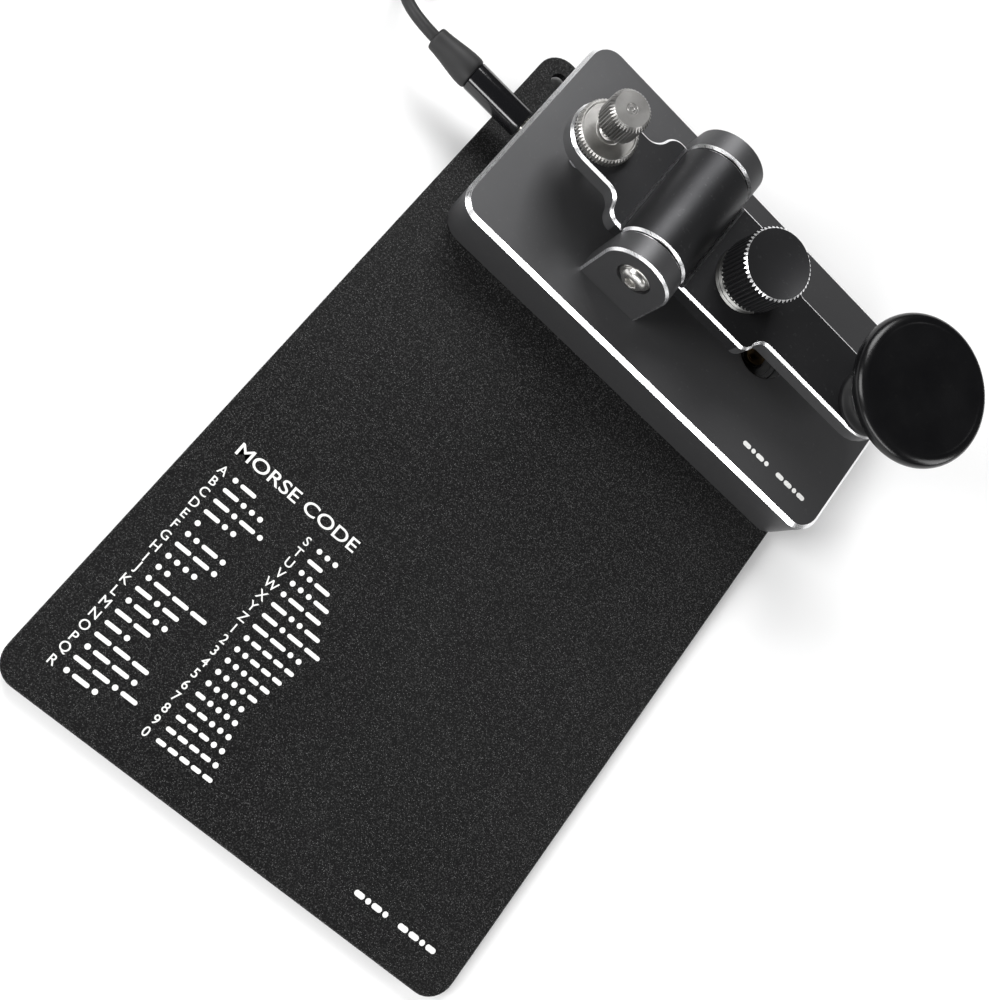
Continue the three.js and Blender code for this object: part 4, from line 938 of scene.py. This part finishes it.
# %% Print the call signal on plate and block
CALL = "-.-. --.-"
CALL_DASH_L = 3.3
CALL_DOT_D = 1.65
CALL_DASH_W = 1.6
CALL_GAP = 0.6
CALL_PLACES = (("plate_call_print", 21.9, -73.3, 19.5, plate_print_z),
               ("block_call_print", 26.6, 38.7, 17.8, BLOCK_TOP + INK_LIFT))
for name, x, y, width, z in CALL_PLACES:
    call_bm = bmesh.new()
    end = printed_code(call_bm, CALL, 0, 0, z, CALL_DASH_L, CALL_DOT_D, CALL_DOT_D, CALL_DASH_W,
                       CALL_GAP)
    bmesh.ops.scale(call_bm, vec=(width / end, width / end, 1), verts=call_bm.verts)
    make_piece(call_bm, name, "base", [ink], move=(x, y, 0), smooth=30)

# %% [markdown]
# ## Block, cover and jack
#
# The block is milled from one bar of aluminium, ears included, and anodised black. Its edges were
# cut afterwards, so they are the second finish on the same body. Choosing those faces by height and
# slope, rather than by number, keeps working if the block's outline changes.

# %% Block with bright edges
BLOCK_CHAMFER = 0.85
SLACK = 0.05
HOLE_KEEP_R = 7.0
hole_x = middle("contact_bush")[0]
block_bm = cad_copy("key_block")


def is_block_edge(centre, normal):
    on_rim = centre.z > BLOCK_TOP - BLOCK_CHAMFER - SLACK and sloped(normal.z)
    on_ear = centre.z > BLOCK_TOP and sloped(normal.y)
    near_hole = math.hypot(centre.x - hole_x, centre.y - KEY_Y) < HOLE_KEEP_R
    return (on_rim and centre.z < BLOCK_TOP and not near_hole) or on_ear


print(paint(block_bm, is_block_edge), "bright faces on the block")
# The block's lighter black is painted light; its cut edges are bare metal.
make_piece(block_bm, "key_block_milled", "base", [block_anodised_painted_light, cut_edge], "key_block",
           smooth=25)
make_piece(cad_copy("bottom_cover"), "bottom_cover_sheet", "base", [black_anodised], "bottom_cover",
           smooth=25)
make_piece(cad_copy("jack_body"), "jack_body_moulded", "base", [moulded_black], "jack_body",
           smooth=25)

# %% [markdown]
# ## The lever
#
# The lever is one milled bar with a round hub across it. Its top edge is cut bright all the way
# round, and so are the two rims of the hub. Its flanks are a little rougher than its top, and their
# black is painted lighter for the light that falls on that side: a third finish on the body.

# %% Lever with bright edges
HUB_REACH = 7.5
HUB_HALF_L = 10.0
EDGE_BAND = 2.6
# Painted highlight: the band where one groove slope gets the bright cut finish.
GROOVE_HIGHLIGHT_BAND = (HUB_REACH - 0.9, HUB_REACH + 1.2)
lever_bm = cad_copy("lever")


def is_lever_edge(centre, normal):
    across = abs(centre.x - PIVOT_X)
    along = abs(centre.y - KEY_Y)
    near_top = centre.z >= LEVER_TOP - 1
    on_bar = across > HUB_REACH - SLACK and sloped(normal.z) and centre.z > PIVOT_Z - EDGE_BAND
    on_hub = along > HUB_HALF_L and across < HUB_REACH and sloped(normal.y)
    # Painted highlight: only the groove slope left of the hub, facing it, is painted bright.
    groove_highlight = GROOVE_HIGHLIGHT_BAND[0] < PIVOT_X - centre.x < GROOVE_HIGHLIGHT_BAND[1] and sloped(normal.z)
    return (on_bar and near_top) or on_hub or (groove_highlight and normal.x > 0.3 and near_top)


# Flanks take the lighter black, painted light for the light on that side.
def is_flank(centre, normal):
    return abs(normal.z) < 0.1 and abs(centre.x - PIVOT_X) > HUB_REACH


print(paint(lever_bm, is_lever_edge), "bright faces on the lever")
print(paint(lever_bm, is_flank, 2), "faces on its flanks")
make_piece(lever_bm, "lever_milled", "lever", [black_anodised, cut_edge, flank_painted_light], "lever",
           smooth=25)

# %% [markdown]
# ## The finger knob
#
# The knob is glossy black plastic: a foot on the lever, a slim neck, and a wide disc with a thick
# round rim and a slightly hollow top for two fingertips. Its outline is a row of smooth curves, and
# a lathe spin turns them into the body. Fingers polish the disc but not the neck, so everything
# under the disc is a rougher black; its colour is a shade darker too, painted shade under the
# disc.

# %% Finger knob
knob_low, knob_high = corners("finger_knob")
KNOB_R = radius_of("finger_knob")
KNOB_H = knob_high[2] - knob_low[2]
SOCKET_R = radius_of("knob_insert") + SLACK
SOCKET_H = top("knob_insert") - knob_low[2] + 0.4
FOOT_R = 6.6
ANKLE_R = 5.2
NECK_R = 4.6
DISC_R = 13.1
DISC_LOW = KNOB_H - 3.3
RIM_Z = KNOB_H - 1.9
LIP_R = KNOB_R - 2.0
DISH_EDGE = (LIP_R - 0.6, KNOB_H - 0.18)
DISH_Z = KNOB_H - 0.6


def finger_knob_outline():
    points = [(0, SOCKET_H), (SOCKET_R, SOCKET_H), (SOCKET_R, 0), (FOOT_R - 0.2, 0),
              (FOOT_R, 0.2), (FOOT_R, 0.9)]
    points += bezier((FOOT_R, 0.9), (6.55, 1.3), (5.6, 1.6), (ANKLE_R, 2.2), 8)
    points += bezier((ANKLE_R, 2.2), (4.8, 2.8), (NECK_R, 4.4), (NECK_R, 6.8), 10)
    points += bezier((NECK_R, 6.8), (NECK_R, 10.5), (7.0, DISC_LOW - 0.6), (DISC_R, DISC_LOW), 20)
    points += bezier((DISC_R, DISC_LOW), (KNOB_R - 0.3, DISC_LOW + 0.1), (KNOB_R, RIM_Z - 0.7),
                     (KNOB_R, RIM_Z), 10)
    points += bezier((KNOB_R, RIM_Z), (KNOB_R, KNOB_H - 0.75), (KNOB_R - 0.9, KNOB_H),
                     (LIP_R, KNOB_H - 0.02), 14)
    points += bezier((LIP_R, KNOB_H - 0.02), (LIP_R - 0.2, KNOB_H - 0.04),
                     (LIP_R - 0.3, KNOB_H - 0.14), DISH_EDGE, 5)
    return points + bezier(DISH_EDGE, (8.2, DISH_Z), (4.0, DISH_Z), (0.0, DISH_Z), 14)


knob_bm = spun(finger_knob_outline(), 144)
# Faces under the disc take the darker black, painted shade.
print(paint(knob_bm, lambda centre, normal: centre.z < DISC_LOW - SLACK), "faces under the disc")
make_piece(knob_bm, "finger_knob_turned", "lever", [knob_black, neck_black_painted_shade], "finger_knob",
           (middle("finger_knob")[0], KEY_Y, knob_low[2]), smooth=40)

# %% [markdown]
# ## Knurled pieces
#
# A knurl is a ring of small teeth that fingers can grip. Each tooth here is four points of an
# outline. The edge of a knurled head is then turned at a slant, which cuts every tooth to a bright
# point. The slanted cut is a cone, so its faces have to be split along the long diagonal: the other
# way, the tip of each tooth would be dented instead of flat.


# %% Outline of a knurl
TOOTH = ((-0.46, 1.0), (-0.13, 0.0), (0.13, 0.0), (0.46, 1.0))


def knurl(radius, depth, teeth, z, limit):
    points = []
    for tooth in range(teeth):
        for share, sunk in TOOTH:
            a = 2 * math.pi * (tooth + share) / teeth
            reach = min(radius - sunk * depth, limit)
            points.append((reach * math.cos(a), reach * math.sin(a), z))
    return points


def rings(pairs, teeth):
    return [knurl(radius, 0, teeth, z, radius) for radius, z in pairs]


def knurled_wall(radius, depth, teeth, low, high, foot, cut):
    levels = ((low, radius - foot), (low + foot, radius), (high - cut, radius),
              (high, radius - cut))
    return [knurl(radius, depth, teeth, z, limit) for z, limit in levels]


# %% Stack outlines with the same number of points
def stacked(outlines, closed_ends=True):
    bm = bmesh.new()
    rows = [[bm.verts.new(p) for p in outline] for outline in outlines]
    for low, high in zip(rows, rows[1:]):
        for i in range(len(low)):
            j = (i + 1) % len(low)
            bm.faces.new((low[i], low[j], high[j], high[i]))
    if closed_ends:
        bm.faces.new(list(reversed(rows[0])))
        bm.faces.new(rows[-1])
    else:
        for i in range(len(rows[0])):
            j = (i + 1) % len(rows[0])
            bm.faces.new((rows[-1][i], rows[-1][j], rows[0][j], rows[0][i]))
    return bm


def split_slants(bm, low, high):
    faces = [f for f in bm.faces if low < f.calc_center_median().z < high and len(f.verts) == 4]
    bmesh.ops.triangulate(bm, faces=faces, quad_method="LONG_EDGE")


# %% [markdown]
# ### Spring tension knob
#
# A thick black knob screws down through the lever on a bare threaded sleeve and presses on the
# spring. Turning it sets how hard the lever pushes back. The head and the sleeve are one turned
# part, but only the head is black, so here they are two bodies with a hair between them.

# %% Tension knob
TENSION_R = radius_of("tension_knob")
TENSION_TEETH = 50
TENSION_CUT = 0.45
TENSION_FOOT = 0.15
TOP_HOLLOW = 0.04
POLE_R = 0.05
SLEEVE_R = 6.5
SLEEVE_BORE_R = 5.0
THREAD_PITCH = 1.1
THREAD_DEPTH = 0.35
THREAD_CREST = (0.4, 0.6)
THREAD_END = 1.05
tension_low = LEVER_TOP + 2.7
tension_high = top("tension_knob")
bore_high = top("thrust_washer") + SEAT


def tension_head():
    cut = TENSION_CUT
    face_r = TENSION_R - cut
    outlines = rings([(POLE_R, bore_high), (SLEEVE_BORE_R, bore_high),
                      (SLEEVE_BORE_R, tension_low)], TENSION_TEETH)
    outlines += knurled_wall(TENSION_R, cut, TENSION_TEETH, tension_low, tension_high,
                             TENSION_FOOT, cut)
    hollow = tension_high - TOP_HOLLOW
    outlines += rings([(face_r - 0.08, tension_high), (face_r - 0.16, hollow), (POLE_R, hollow)],
                      TENSION_TEETH)
    bm = stacked(outlines)
    low, high = tension_high - cut, tension_high - SLACK
    split_slants(bm, low, high)
    paint(bm, lambda centre, normal: low < centre.z < high and 0.5 < normal.z < 0.95)
    return bm


make_piece(tension_head(), "tension_knob_head", "tension_knob", [black_anodised, cut_edge],
           "tension_knob", (tension_x, tension_y, 0), smooth=28)


def sleeve_outline():
    low = bottom("tension_knob")
    high = tension_low - SEAT
    root = SLEEVE_R - THREAD_DEPTH
    crest = SLEEVE_R - 0.02
    points = [(SLEEVE_BORE_R, low), (SLEEVE_R - 0.3, low), (root, low + 0.1)]
    z = low + 0.25
    while z + THREAD_PITCH < high:
        points += [(root, z), (crest, z + THREAD_CREST[0]), (crest, z + THREAD_CREST[1]),
                   (root, z + THREAD_END)]
        z += THREAD_PITCH
    return points + [(root, high), (SLEEVE_BORE_R, high)]


# The sleeve's dark metal is painted shade under the head.
make_piece(spun(sleeve_outline(), 128, closed=True), "tension_knob_sleeve", "tension_knob",
           [turned_sleeve_painted_shade], "tension_knob", (tension_x, tension_y, 0), smooth=28)

# %% [markdown]
# ### Gap screw and its lock nut
#
# The gap screw stops the lever on its way up, so it sets the gap between the contacts, and the
# wide nut under it locks it there. Both are nickel plated brass with a coarse knurl. The lathe has
# left a small groove and a dimple in the middle of the screw's flat top.

# %% Gap screw
gap_low = bottom("gap_screw")
gap_high = top("gap_screw")
SCREW_HEAD_R = radius_of("gap_screw")
SCREW_HEAD_H = 6.0
SCREW_TEETH = 40
SCREW_KNURL = 0.38
SCREW_FOOT = 0.6
SCREW_CUT = 0.75
CROWN = ((1.1, 0), (1.02, 0.07), (0.92, 0.07), (0.84, 0), (0.5, 0), (0.4, 0.1), (POLE_R, 0.12))
GAP_THREAD_R = 2.0
GAP_THREAD_PITCH = 0.7


def gap_head():
    low = gap_high - SCREW_HEAD_H
    outlines = rings([(POLE_R, low + 0.3), (GAP_THREAD_R, low + 0.3), (GAP_THREAD_R + 0.1, low)],
                     SCREW_TEETH)
    outlines += knurled_wall(SCREW_HEAD_R, SCREW_KNURL, SCREW_TEETH, low, gap_high, SCREW_FOOT,
                             SCREW_CUT)
    crown = [(SCREW_HEAD_R - SCREW_CUT - 0.1, gap_high)]
    crown += [(radius, gap_high - sunk) for radius, sunk in CROWN]
    bm = stacked(outlines + rings(crown, SCREW_TEETH))
    split_slants(bm, gap_high - SCREW_CUT, gap_high - SLACK)
    return bm


def threaded_bar(radius, root, pitch, low, high, chamfer):
    points = [(0, low), (radius - chamfer, low), (root, low + chamfer * 0.6)]
    z = low + chamfer
    while z + pitch < high:
        points += [(root, z), (radius, z + 0.45 * pitch), (radius, z + 0.55 * pitch),
                   (root, z + 0.98 * pitch)]
        z += pitch
    return points + [(root, high), (0, high)]


# The head takes the darker copy of the nickel, painted shade.
make_piece(gap_head(), "gap_screw_head", "gap_screw", [turned_head_painted_shade], "gap_screw",
           (gap_x, gap_y, 0), smooth=24)
gap_shank = threaded_bar(GAP_THREAD_R, GAP_THREAD_R - 0.3, GAP_THREAD_PITCH, gap_low,
                         gap_high - SCREW_HEAD_H + 0.25, 0.8)
make_piece(spun(gap_shank, 96), "gap_screw_thread", "gap_screw", [turned_gap], "gap_screw",
           (gap_x, gap_y, 0), smooth=24)

# %% Lock nut
NUT_TEETH = 56
NUT_KNURL = 0.4
NUT_FOOT = 0.3
NUT_CUT = 0.5
NUT_DISH = 0.25
NUT_R = radius_of("gap_lock_nut")
nut_low, nut_high = bottom("gap_lock_nut") + SEAT, top("gap_lock_nut")


def lock_nut():
    bore = GAP_THREAD_R + 0.08
    dish = nut_high - NUT_DISH
    outlines = rings([(bore, nut_low), (NUT_R - 0.7, nut_low)], NUT_TEETH)
    outlines += knurled_wall(NUT_R, NUT_KNURL, NUT_TEETH, nut_low, nut_high, NUT_FOOT, NUT_CUT)
    outlines += rings([(5.25, nut_high), (5.1, dish), (2.7, dish), (2.55, dish + 0.08),
                       (bore + 0.1, dish + 0.08), (bore, dish)], NUT_TEETH)
    bm = stacked(outlines, closed_ends=False)
    split_slants(bm, nut_high - NUT_CUT, nut_high - SLACK)
    return bm


make_piece(lock_nut(), "gap_lock_nut_knurled", "gap_nut", [turned_gap], "gap_lock_nut",
           (gap_x, gap_y, 0), smooth=24)

# %% [markdown]
# ### Pivot screws
#
# Two button-head screws go in from the sides and carry the bearings. The head is a flat flange with
# a low dome on it, and the dome has a six-sided socket. Round and six-sided outlines can share one
# mesh when both have the same number of points, here six on each side of the socket.

# %% Pivot screws
SCREW_POINTS = 72
SCREW_L = 12.0
SHANK_R = 1.5
FLANGE_R = 3.25
HEX_R = 1.25
HEX_FLOOR_Z = 0.9


def hexagon(z, radius=HEX_R):
    points = []
    for x, y, _ in circle(1, z, SCREW_POINTS):
        a = math.atan2(y, x) % (math.pi / 3) - math.pi / 6
        reach = radius * math.cos(math.pi / 6) / math.cos(a)
        points.append((reach * x, reach * y, z))
    return points


def pivot_screw():
    sizes = [(1.0, -SCREW_L + SEAT), (SHANK_R, -SCREW_L + 0.55), (SHANK_R, SEAT),
             (FLANGE_R - 0.15, SEAT), (FLANGE_R, 0.2), (FLANGE_R, 0.55), (FLANGE_R - 0.15, 0.7),
             (2.75, 0.7), (2.68, 0.78)]
    sizes += bezier((2.68, 0.78), (2.6, 1.35), (2.1, 1.8), (1.5, 1.94), 8)
    outlines = [circle(r, z, SCREW_POINTS) for r, z in sizes]
    outlines += [hexagon(1.98, HEX_R + 0.08), hexagon(1.9), hexagon(HEX_FLOOR_Z),
                 circle(0.6, 0.75, SCREW_POINTS)]
    return stacked(outlines)


screw_seats = {"left": corners("pivot_screw_left")[1][1] - SCREW_L + SEAT,
               "right": corners("pivot_screw_right")[0][1] + SCREW_L - SEAT}
for side, turn in (("left", QUARTER), ("right", -QUARTER)):
    bm = pivot_screw()
    bmesh.ops.rotate(bm, cent=(0, 0, 0), matrix=Matrix.Rotation(turn, 3, "X"), verts=bm.verts)
    make_piece(bm, "pivot_screw_%s_button" % side, "base", [turned_pivot], "pivot_screw_" + side,
               (PIVOT_X, screw_seats[side], PIVOT_Z), smooth=30)

# %% [markdown]
# ## Contacts, stop and spring
#
# Under the lever, a brass stud meets a brass rivet set in a plastic bush, which keeps the current
# out of the block. The gap screw comes down on a hard steel disc. The spring is a wire that
# follows a helix: its two end turns are closed so that it stands flat, and the turns between them
# are open.

# %% Contacts and stop
RIVET_R = 2.4
STEM_R = 1.2
contact_x = middle("fixed_contact")[0]
fixed_low, fixed_high = bottom("fixed_contact"), top("fixed_contact")
fixed_seat = fixed_high - 0.9
fixed_outline = [(0, fixed_low), (STEM_R - 0.15, fixed_low), (STEM_R, fixed_low + 0.15),
                 (STEM_R, fixed_seat), (RIVET_R, fixed_seat), (RIVET_R, fixed_high - 0.3)]
fixed_outline += bezier((RIVET_R, fixed_high - 0.3), (RIVET_R, fixed_high - 0.08),
                        (2.1, fixed_high - 0.02), (1.7, fixed_high), 5)
# The rivet's dark brass is painted shade inside the bush's hole.
make_piece(spun(fixed_outline + [(0, fixed_high)], 64), "fixed_contact_rivet", "base", [brass_painted_shade],
           "fixed_contact", (contact_x, KEY_Y, 0))

STUD_R = 1.5
STUD_DEPTH = 2.6
TIP_LIFT = 0.08
tip, stud_high = bottom("moving_contact") + TIP_LIFT, top("moving_contact")
shoulder = stud_high - STUD_DEPTH - SEAT
moving_outline = [(0, tip), (0.8, tip)]
moving_outline += bezier((0.8, tip), (1.2, tip), (STUD_R, tip + 0.15), (STUD_R, tip + 0.5), 5)
moving_outline += [(STUD_R, shoulder), (STEM_R, shoulder), (STEM_R, stud_high), (0, stud_high)]
make_piece(spun(moving_outline, 64), "moving_contact_stud", "lever", [brass_painted_shade], "moving_contact",
           (contact_x, KEY_Y, 0))

BUSH_R = 5.77
BUSH_BORE_R = 1.23
bush_low, bush_high = bottom("contact_bush"), top("contact_bush")
bush_groove = bush_high - 0.35
bush_outline = [(BUSH_BORE_R, bush_low), (BUSH_R, bush_low), (BUSH_R, bush_high - 0.3),
                (BUSH_R - 0.3, bush_high), (4.6, bush_high), (4.45, bush_groove),
                (2.9, bush_groove), (2.75, bush_high), (BUSH_BORE_R, bush_high)]
make_piece(spun(bush_outline, 96, closed=True), "contact_bush_moulded", "base", [nylon],
           "contact_bush", (contact_x, KEY_Y, 0))

ANVIL_R = radius_of("stop_anvil")
ANVIL_EDGE = 0.25
anvil_low, anvil_high = bottom("stop_anvil"), top("stop_anvil")
anvil_outline = [(0, anvil_low), (ANVIL_R, anvil_low), (ANVIL_R, anvil_high - ANVIL_EDGE),
                 (ANVIL_R - ANVIL_EDGE, anvil_high), (0, anvil_high)]
# The stop disc's dark steel is painted shade under the lever.
make_piece(spun(anvil_outline, 64), "stop_anvil_disc", "base", [dark_steel_painted_shade], "stop_anvil",
           (gap_x, gap_y, 0))

WASHER_R = 4.7
WASHER_HOLE_R = 1.6
WASHER_EDGE = 0.1
washer_low, washer_high = bottom("thrust_washer"), top("thrust_washer")
washer_outline = [(WASHER_HOLE_R, washer_low), (WASHER_R - WASHER_EDGE, washer_low),
                  (WASHER_R, washer_low + WASHER_EDGE), (WASHER_R, washer_high - WASHER_EDGE),
                  (WASHER_R - WASHER_EDGE, washer_high), (WASHER_HOLE_R, washer_high)]
make_piece(spun(washer_outline, 64, closed=True), "thrust_washer_disc", "spring_washer",
           [plain_steel], "thrust_washer", (tension_x, tension_y, 0))

# %% Tension spring
SPRING_TURNS = 7
SPRING_WIRE_R = 0.4
SPRING_R = 3.9
SPRING_END_RISE = 0.9
SPRING_STEPS = 32
SPRING_SIDES = 10
spring_low = bottom("tension_spring") + SPRING_WIRE_R
spring_high = top("tension_spring") - SPRING_WIRE_R


def spring_height(turn):
    pitch = (spring_high - spring_low - 2 * SPRING_END_RISE) / (SPRING_TURNS - 2)
    z = spring_low + min(turn, 1) * SPRING_END_RISE
    z += min(max(turn - 1, 0), SPRING_TURNS - 2) * pitch
    return z + max(turn - SPRING_TURNS + 1, 0) * SPRING_END_RISE


def spring_rings():
    outlines = []
    for step in range(SPRING_TURNS * SPRING_STEPS + 1):
        turn = step / SPRING_STEPS
        a = 2 * math.pi * turn
        ring = []
        for side in range(SPRING_SIDES):
            b = 2 * math.pi * side / SPRING_SIDES
            reach = SPRING_R + SPRING_WIRE_R * math.cos(b)
            ring.append((reach * math.cos(a), reach * math.sin(a),
                         spring_height(turn) + SPRING_WIRE_R * math.sin(b)))
        outlines.append(ring)
    return outlines


spring = make_piece(stacked(spring_rings()), "tension_spring_wire", "base", [plain_steel],
                    "tension_spring", (tension_x, tension_y, 0), smooth=50)
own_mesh(spring)

# %% [markdown]
# ## Pieces inside
#
# Bearings, magnets, wires and screws are covered by their neighbours, so their CAD shapes stay as
# they are. They still need a finish, for whoever takes the key apart.

# %% Finishes for the hidden pieces
HIDDEN = (
    (plain_steel, ["axle_spacer", "ground_screw", "knob_screw"]),
    (plain_steel, ["%s_%d" % (kind, n) for kind in ("cover_screw", "magnet") for n in range(1, 5)]),
    (plain_steel, ["bearing_%s_%s" % (part, side) for part in ("inner_ring", "balls", "outer_ring")
                   for side in ("left", "right")]),
    (brass_painted_shade, ["jack_tip_spring", "solder_tag", "knob_insert"]),
    (red_cover, ["signal_wire"]),
    (moulded_black, ["ground_wire"]),
)
for finish, names in HIDDEN:
    for name in names:
        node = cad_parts[name]
        node.data.materials.clear()
        node.data.materials.append(finish)
print(sum(len(names) for _, names in HIDDEN), "hidden nodes have a finish")

# %% [markdown]
# ## Floor and light
#
# Black objects are lit by what they reflect. A large soft light high on the far left gives the long
# soft glow along the hub. A low strip on the near side lights only the edges that slope towards
# it, and those flash white against the dark faces. Two panels, on the left and on the right, round
# off the knob's rim and fill the shadows.


# %% Floor
def build_floor_finish():
    material, tree, shader = new_material("floor_paper")
    patina = group_node(tree, PATINA, Patches_per_metre=6.0, Grains_per_metre=1500.0)
    colour = mix_colours(tree, patina.outputs["Patches"], (0.95, 0.95, 0.95), (0.93, 0.93, 0.93))
    tree.links.new(colour, shader.inputs["Base Color"])
    shader.inputs["Roughness"].default_value = 0.9
    return material


floor_bm = bmesh.new()
bmesh.ops.create_grid(floor_bm, x_segments=2, y_segments=2, size=3.0)
floor_mesh = bpy.data.meshes.new("floor")
floor_bm.to_mesh(floor_mesh)
floor_bm.free()
floor_mesh.materials.append(build_floor_finish())
floor = bpy.data.objects.new("floor", floor_mesh)
SCENE.collection.objects.link(floor)
print("floor:", round(floor.dimensions[0], 2), "m across")


# %% Lights
def area_light(name, place, target, size, power):
    data = bpy.data.lights.new(name, "AREA")
    data.shape = "RECTANGLE"
    data.size, data.size_y = size
    data.energy = power
    light = bpy.data.objects.new(name, data)
    SCENE.collection.objects.link(light)
    place, target = Vector(place), Vector(target)
    aim(light, place, (target - place).normalized(), Vector((0, 0, 1)))
    return light


AIM_AT = (0.0, 0.04, 0.02)
area_light("soft_box", (-0.36, 0.5, 0.58), AIM_AT, (0.5, 0.35), 5.5)
area_light("near_strip", (0.12, -0.62, 0.26), AIM_AT, (0.8, 0.16), 4.0)
area_light("side_panel", (0.75, 0.1, 0.4), AIM_AT, (0.3, 0.5), 2.6)
area_light("left_panel", (-0.62, -0.3, 0.5), AIM_AT, (0.4, 0.4), 5.0)

world = bpy.data.worlds.new("studio")
world.use_nodes = True
backdrop = world.node_tree.nodes["Background"]
backdrop.inputs["Color"].default_value = (1.0, 1.0, 1.0, 1.0)
backdrop.inputs["Strength"].default_value = 0.06
SCENE.world = world
SCENE.view_settings.view_transform = "Standard"
print(len(bpy.data.lights), "lights and a", world.name, "world")
